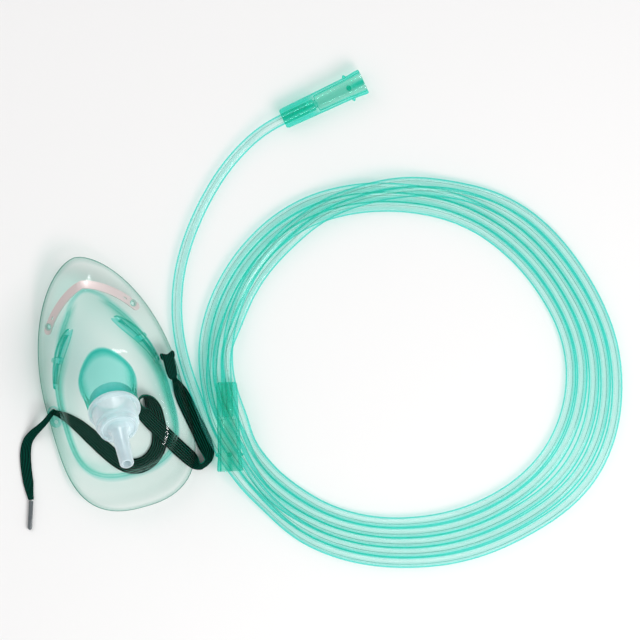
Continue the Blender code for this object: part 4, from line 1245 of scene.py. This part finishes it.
@dataclass
class SupplyTube:
    """The clear tube: a straight run, then nearly five turns, with a connector on each end."""

    free: FunnelConnector
    coiled: FunnelConnector
    radius: float = 0.003
    sides: int = 24
    lumen: float = 0.0017
    lumen_rib: float = 0.00012
    lumen_ribs: int = 5
    step_degrees: float = 3.0
    spacing: float = 0.004
    layer: float = 0.0052
    centre: Vector = field(default_factory=lambda: Vector((0.161, -0.0361, 0.0)))
    turn: float = math.radians(-15.7)
    start_angle: float = 210.0
    # Radii at every 30 degrees of the coil
    inner: tuple[float, ...] = (
        0.0858, 0.0820, 0.0836, 0.0866, 0.0905, 0.0944, 0.0962, 0.0952, 0.0894, 0.0847, 0.0842, 0.0866
    )
    outer: tuple[float, ...] = (
        0.1163, 0.1084, 0.1056, 0.1037, 0.1078, 0.1122, 0.1150, 0.1126, 0.1118, 0.1095, 0.1125, 0.1202
    )
    # Where each turn lies between them, every 30 degrees from the start angle
    shares: tuple[tuple[float, ...], ...] = (
        (1.02, 1.0, 1.0, 1.0, 1.0, 1.0, 1.0, 1.0, 0.80, 0.48, 0.28, 0.20),
        (0.12, 0.03, 0.0, 0.0, 0.0, 0.0, 0.0, 0.0, 0.08, 0.28, 0.45, 0.48),
        (0.38, 0.30, 0.25, 0.22, 0.22, 0.24, 0.25, 0.22, 0.32, 0.52, 0.70, 0.73),
        (0.62, 0.53, 0.50, 0.50, 0.50, 0.50, 0.50, 0.50, 0.60, 0.85, 1.0, 0.98),
        (0.85, 0.80, 0.80, 0.75, 0.75, 0.75, 0.75, 0.75, 0.62, 0.28, 0.0, 0.03),
    )
    # The layer that it lies in there before it settles
    layers: tuple[tuple[float, ...], ...] = (
        (0.0, 0.0, 0.0, 0.0, 0.0, 0.0, 0.0, 0.8, 2.6, 2.4, 1.4, 1.2),
        (0.5, 0.0, 0.0, 0.0, 0.0, 0.0, 0.0, 0.0, 0.0, 0.0, 0.0, 0.0),
        (1.0, 1.0, 1.0, 1.0, 1.0, 1.0, 1.0, 1.0, 1.0, 1.0, 1.0, 1.0),
        (0.5, 0.0, 0.0, 0.0, 0.0, 0.0, 0.0, 0.0, 0.0, 0.0, 0.0, 0.0),
        (1.0, 1.0, 1.0, 1.0, 1.0, 1.0, 1.0, 1.3, 1.9, 2.0, 1.0, 0.3),
    )
    lead: tuple[tuple[float, float, float], ...] = (
        (0.1176, 0.1103, 0.0042), (0.1050, 0.1042, 0.0033), (0.0902, 0.0941, 0.00305),
        (0.0754, 0.0799, 0.00305), (0.0640, 0.0660, 0.00305), (0.0548, 0.0514, 0.00305),
        (0.0482, 0.0362, 0.00305), (0.0446, 0.0231, 0.00305), (0.0428, 0.0106, 0.00305),
        (0.0426, -0.0010, 0.0042), (0.0433, -0.0110, 0.0062), (0.0464, -0.0272, 0.0105),
        (0.0496, -0.0414, 0.0148), (0.0522, -0.0535, 0.0172),
    )
    seat: float = 0.015
    # The turns start higher over the connector: the middle of the place, its reach and the rise
    clearing: tuple[float, float, float] = (0.024, 0.04, 0.012)
    # The connector's radius for the turns, how much wider it gets, and how far they stay over it
    # before its narrow end
    block: tuple[float, float] = (0.0061, 0.0012)
    block_start: float = -0.002
    # How far past the mouth, and how steeply, the turns come down from the connector
    ramp: float = 0.018
    ramp_slope: float = 0.5
    # Rounds of settling, how far the turns sink in each, and how much of the drift stays
    rounds: int = 260
    sink: float = 0.00015
    kept: tuple[float, float, float] = (0.90, 0.90, 1.0)
    # Points nearer than this, and further along than this many points, may press on each other
    contact: float = 0.013
    apart: int = 8
    easing: int = 9
    slack: float = 0.0001
    # How far before its connector the line leaves or joins the connector's own
    leave: float = -0.006
    join: tuple[float, ...] = (-0.02, -0.014, -0.007)
    fixed_ends: tuple[int, int] = (6, 9)
    open_degrees: float = 12.0

    def coil_plan(self) -> list[Vector]:
        """The turns of the coil before they settle."""
        tables = (self.shares, self.layers)
        shares, layers = ([value for turn in table for value in turn] for table in tables)
        plan = [Vector((share, level, 0.0)) for share, level in zip(shares, layers)]
        around = len(self.inner)
        apart = 360 / around
        rise_from, rise_within, rise = self.clearing
        points = []
        for k in range(round((len(plan) - 1) * apart / self.step_degrees) + 1):
            position = k * self.step_degrees / apart
            share, level, _ = curve_point(plan, position)[0]
            degrees = self.start_angle + apart * position
            spot = degrees / apart % around
            i, t = int(spot), spot - int(spot)
            near = [(i + s) % around for s in (-1, 0, 1, 2)]
            edge = curve_point([Vector((self.inner[n], self.outer[n], 0)) for n in near], 1 + t)[0]
            reach = edge.x + self.radius + (edge.y - edge.x - 2 * self.radius) * share
            angle = math.radians(degrees) + self.turn
            point = self.centre + Vector((math.cos(angle), math.sin(angle), 0)) * reach
            point.z = self.radius + self.layer * max(level, 0)
            if (point - self.coiled.start - self.coiled.way * rise_from).to_2d().length < rise_within:
                point.z += rise
            points.append(point)
        return points

    def settled(self, plan: np.ndarray, floor: np.ndarray, ends: tuple[int, int]) -> np.ndarray:
        """Lets the turns sink onto the table, the connector that lies under them and each other.

        Args:
            plan: Centreline, evenly spaced, with the height that each point starts at.
            floor: How low each point may sink.
            ends: How many points at each end stay where they are.

        Returns:
            The centreline at rest.
        """
        at = plan.copy()
        count = len(at)
        flat = np.column_stack([plan[:, :2], np.zeros(count)])
        index = np.arange(count)
        spread = np.linalg.norm(flat[:, None] - flat[None], axis=2)
        later = index[None] - index[:, None] > self.apart
        pairs = np.nonzero((spread < self.contact) & later)
        loose = slice(ends[0], count - ends[1])
        kernel = np.hanning(self.easing) / np.hanning(self.easing).sum()
        for _ in range(self.rounds):
            at[loose, 2] -= self.sink
            drift = at - flat
            for i, keep in enumerate(self.kept):
                padded = np.pad(drift[:, i], self.easing // 2, mode="edge")
                eased = np.convolve(padded, kernel, mode="valid")
                drift[loose, i] = eased[loose] * keep
            at = drift + flat
            at[loose] += self.pressed_apart(at, *pairs)[loose]
            at[loose] += self.lifted_off(at)[loose]
            at[loose, 2] = np.maximum(at[loose, 2], floor[loose])
        return at

    def pressed_apart(self, at: np.ndarray, one: np.ndarray, two: np.ndarray) -> np.ndarray:
        """How far each point moves off the points of other turns that it presses into.

        Args:
            at: The centreline.
            one: Index of the first point of each pair that may press.
            two: Index of the second one.

        Returns:
            The move of each point.
        """
        gap = 2 * self.radius + self.slack
        off = at[two] - at[one]
        far = np.linalg.norm(off, axis=1)
        push = off * (np.maximum(gap - far, 0) / (2 * np.maximum(far, 1e-6)))[:, None]
        hit = (far < gap).astype(float)
        move, hits = np.zeros_like(at), np.zeros(len(at))
        for points, way in ((two, 1), (one, -1)):
            np.add.at(move, points, push * way)
            np.add.at(hits, points, hit)
        return move / np.maximum(hits, 1)[:, None]

    def lifted_off(self, at: np.ndarray) -> np.ndarray:
        """How far each point moves off the connector that lies under the turns."""
        start, axis = np.array(self.coiled.start), np.array(self.coiled.way)
        length, (block, wider) = self.coiled.length, self.block
        along = np.clip((at - start) @ axis, self.block_start, length + self.ramp)
        away = at - start - along[:, None] * axis
        reach = block + np.maximum(along, 0) / length * wider + self.radius
        reach -= np.maximum(along - length, 0) * self.ramp_slope
        far = np.linalg.norm(away, axis=1)
        return away * (np.maximum(reach - far, 0) / np.maximum(far, 1e-6))[:, None]

    def route(self) -> list[Vector]:
        """The whole centreline, from inside the free connector to inside the other one."""
        free, coiled, seat = self.free, self.coiled, self.seat
        first = [free.start + free.way * d for d in (seat, seat / 2, 0.0, self.leave)]
        first += [Vector(row) for row in self.lead]
        last = [coiled.start + coiled.way * d for d in (*self.join, 0.0, seat / 2, seat)]
        turns = self.coil_plan()[: -round(self.open_degrees / self.step_degrees)]
        plan = self.evened(first + turns + last, 2)
        floor = np.full(len(plan), self.radius + 0.00005)
        led = round(sum((b - a).length for a, b in zip(first, first[1:])) / self.spacing)
        floor[:led] = [p.z for p in plan[:led]]
        laid = self.settled(np.array([tuple(p) for p in plan]), floor, self.fixed_ends)
        return self.evened([Vector(p) for p in laid], 3)

    def evened(self, points: list[Vector], passes: int) -> list[Vector]:
        """Evenly spaced points along a line, smoothed a few times."""
        fine = [curve_point(points, k / 4)[0] for k in range((len(points) - 1) * 4 + 1)]
        arc = np.concatenate([[0], np.cumsum([(b - a).length for a, b in zip(fine, fine[1:])])])
        wanted = np.linspace(0, arc[-1], round(arc[-1] / self.spacing) + 1)
        table = np.array([tuple(p) for p in fine])
        even = np.stack([np.interp(wanted, arc, table[:, i]) for i in range(3)], axis=1)
        for _ in range(passes):
            even[1:-1] = even[1:-1] * 0.5 + (even[:-2] + even[2:]) * 0.25
        return [Vector(p) for p in even]

    def star(self, side: int) -> float:
        """Radius of the lumen, which has ribs along it, at one of its corners."""
        return self.lumen + self.lumen_rib * math.cos(2 * math.pi * self.lumen_ribs * side / self.sides)

    def build(self) -> None:
        """Builds and dresses the tube and both connectors."""
        path = self.route()
        skins: list[list[list[Vector]]] = [[], []]
        side, walked = Vector((0, 0, 1)), 0.0
        for i, here in enumerate(path):
            heading = (path[min(i + 1, len(path) - 1)] - path[max(i - 1, 0)]).normalized()
            side = (side - heading * side.dot(heading)).normalized()
            other = heading.cross(side)
            angles = [2 * math.pi * s / self.sides for s in range(self.sides)]
            spokes = [side * math.cos(a) + other * math.sin(a) for a in angles]
            skins[0].append([here + spoke * self.radius for spoke in spokes])
            skins[1].append([here + spoke * self.star(s) for s, spoke in enumerate(spokes)])
            walked += (here - path[max(i - 1, 0)]).length
        wall = swept("supply_tube", skins[0], "tint", lambda r, c: (0.0, 0.0))
        # One corner line of the bore gets a painted dark line: painted shade at the lumen's edge
        bore = swept("tube_bore", skins[1], "tint", lambda r, c: (0.88, 0.75 if c == 2 else 0.0))
        bore.data.flip_normals()
        tube = joined([wall, bore])
        smooth(tube, 60)
        dress(tube, TUBE_FINISH, Body.MASK, ["supply_tube_lead", "supply_tube_coil"])
        ends = [self.coiled.build(), self.free.build()]
        2 * self.radius
        log.info("tube length %.3f m", walked)


@dataclass
class Studio:
    """Camera, table and soft light."""

    middle: tuple[float, float] = (0.1202, 0.0016)
    turn: float = math.radians(-15.7)
    distance: float = 3.0
    view_width: float = 0.352
    table: Colour = (0.87, 0.862, 0.86)
    table_size: float = 4.0
    table_drop: float = 0.0003
    room_light: float = 0.55
    # How many clear faces a ray may cross
    layers_seen: int = 64
    film: float = 36.0
    # Name, place, size, power, and whether it makes glints
    lamps: tuple[tuple[Any, ...], ...] = (
        ("key", (0.5, -0.5, 1.0), (0.6, 0.6), 9.0, False),
        ("fill", (-0.7, 0.5, 1.0), (0.9, 0.9), 3.0, False),
        ("low_strip", (0.9, -0.6, 0.42), (0.5, 0.25), 12.0, True),
        ("top_strip", (0.15, 1.2, 0.9), (0.9, 0.3), 20.0, True),
    )

    def lamp(
        self, name: str, place: tuple[float, float, float], size: tuple[float, float], power: float,
        glints: bool,
    ) -> None:
        """An area lamp that points at the middle of the view.

        Args:
            name: Its name.
            place: Right, up and height from the middle of the view, in metres.
            size: Its width and height.
            power: Its power in watts.
            glints: Whether it makes the glints on glossy surfaces, and no other light.
        """
        right = Vector((math.cos(self.turn), math.sin(self.turn), 0))
        up = Vector((-math.sin(self.turn), math.cos(self.turn), 0))
        target = Vector((*self.middle, 0))
        at = target + right * place[0] + up * place[1] + Vector((0, 0, place[2]))
        data = bpy.data.lights.new(name, "AREA")
        data.shape = "RECTANGLE"
        data.size, data.size_y = size
        data.energy = power
        made = placed(name, data)
        made.location = at
        made.rotation_euler = (target - at).to_track_quat("-Z", "Y").to_euler()
        made.visible_glossy, made.visible_diffuse = glints, not glints

    def build(self) -> None:
        """Sets up the view."""
        scene = bpy.context.scene
        scene.view_settings.view_transform = "Standard"
        scene.cycles.transparent_max_bounces = self.layers_seen
        data = bpy.data.cameras.new("overhead")
        data.sensor_width = self.film
        data.lens = self.film * self.distance / self.view_width
        camera = placed("overhead", data)
        camera.location = (*self.middle, self.distance)
        camera.rotation_euler = (0, 0, self.turn)
        scene.camera = camera
        calm()
        spot = (*self.middle, -self.table_drop)
        bpy.ops.mesh.primitive_plane_add(size=self.table_size, location=spot)
        table = bpy.context.object
        table.name = "table_top"
        g = Graph("pale_table")
        table.data.materials.append(g.finish(g.principled({
            "Base Color": self.table, "Roughness": 0.7, "Specular IOR Level": 0.2,
        })))
        world = bpy.data.worlds.new("soft_room")
        world.use_nodes = True
        sky = world.node_tree.nodes["Background"].inputs
        sky[0].default_value, sky[1].default_value = (1, 1, 1, 1), self.room_light
        scene.world = world
        for lamp in self.lamps:
            self.lamp(*lamp)


def main() -> None:
    """Builds every sub-assembly in order."""
    logging.basicConfig(level=logging.INFO, format="%(name)s: %(message)s")
    Studio().build()
    free = FunnelConnector("outlet_connector", "connector_free", (0.1304, 0.1132), math.radians(9.5))
    heading = math.radians(-103.3)
    coiled = FunnelConnector("mask_connector", "connector_coiled", (0.0616, -0.0173), heading)
    mask = MaskBody()
    for part in (mask, TubeAdapter(mask.port()), HeadStrap(), SupplyTube(free, coiled)):
        log.info("building %s", type(part).__name__)
        part.build()
    calm()


if __name__ == "__main__":
    main()
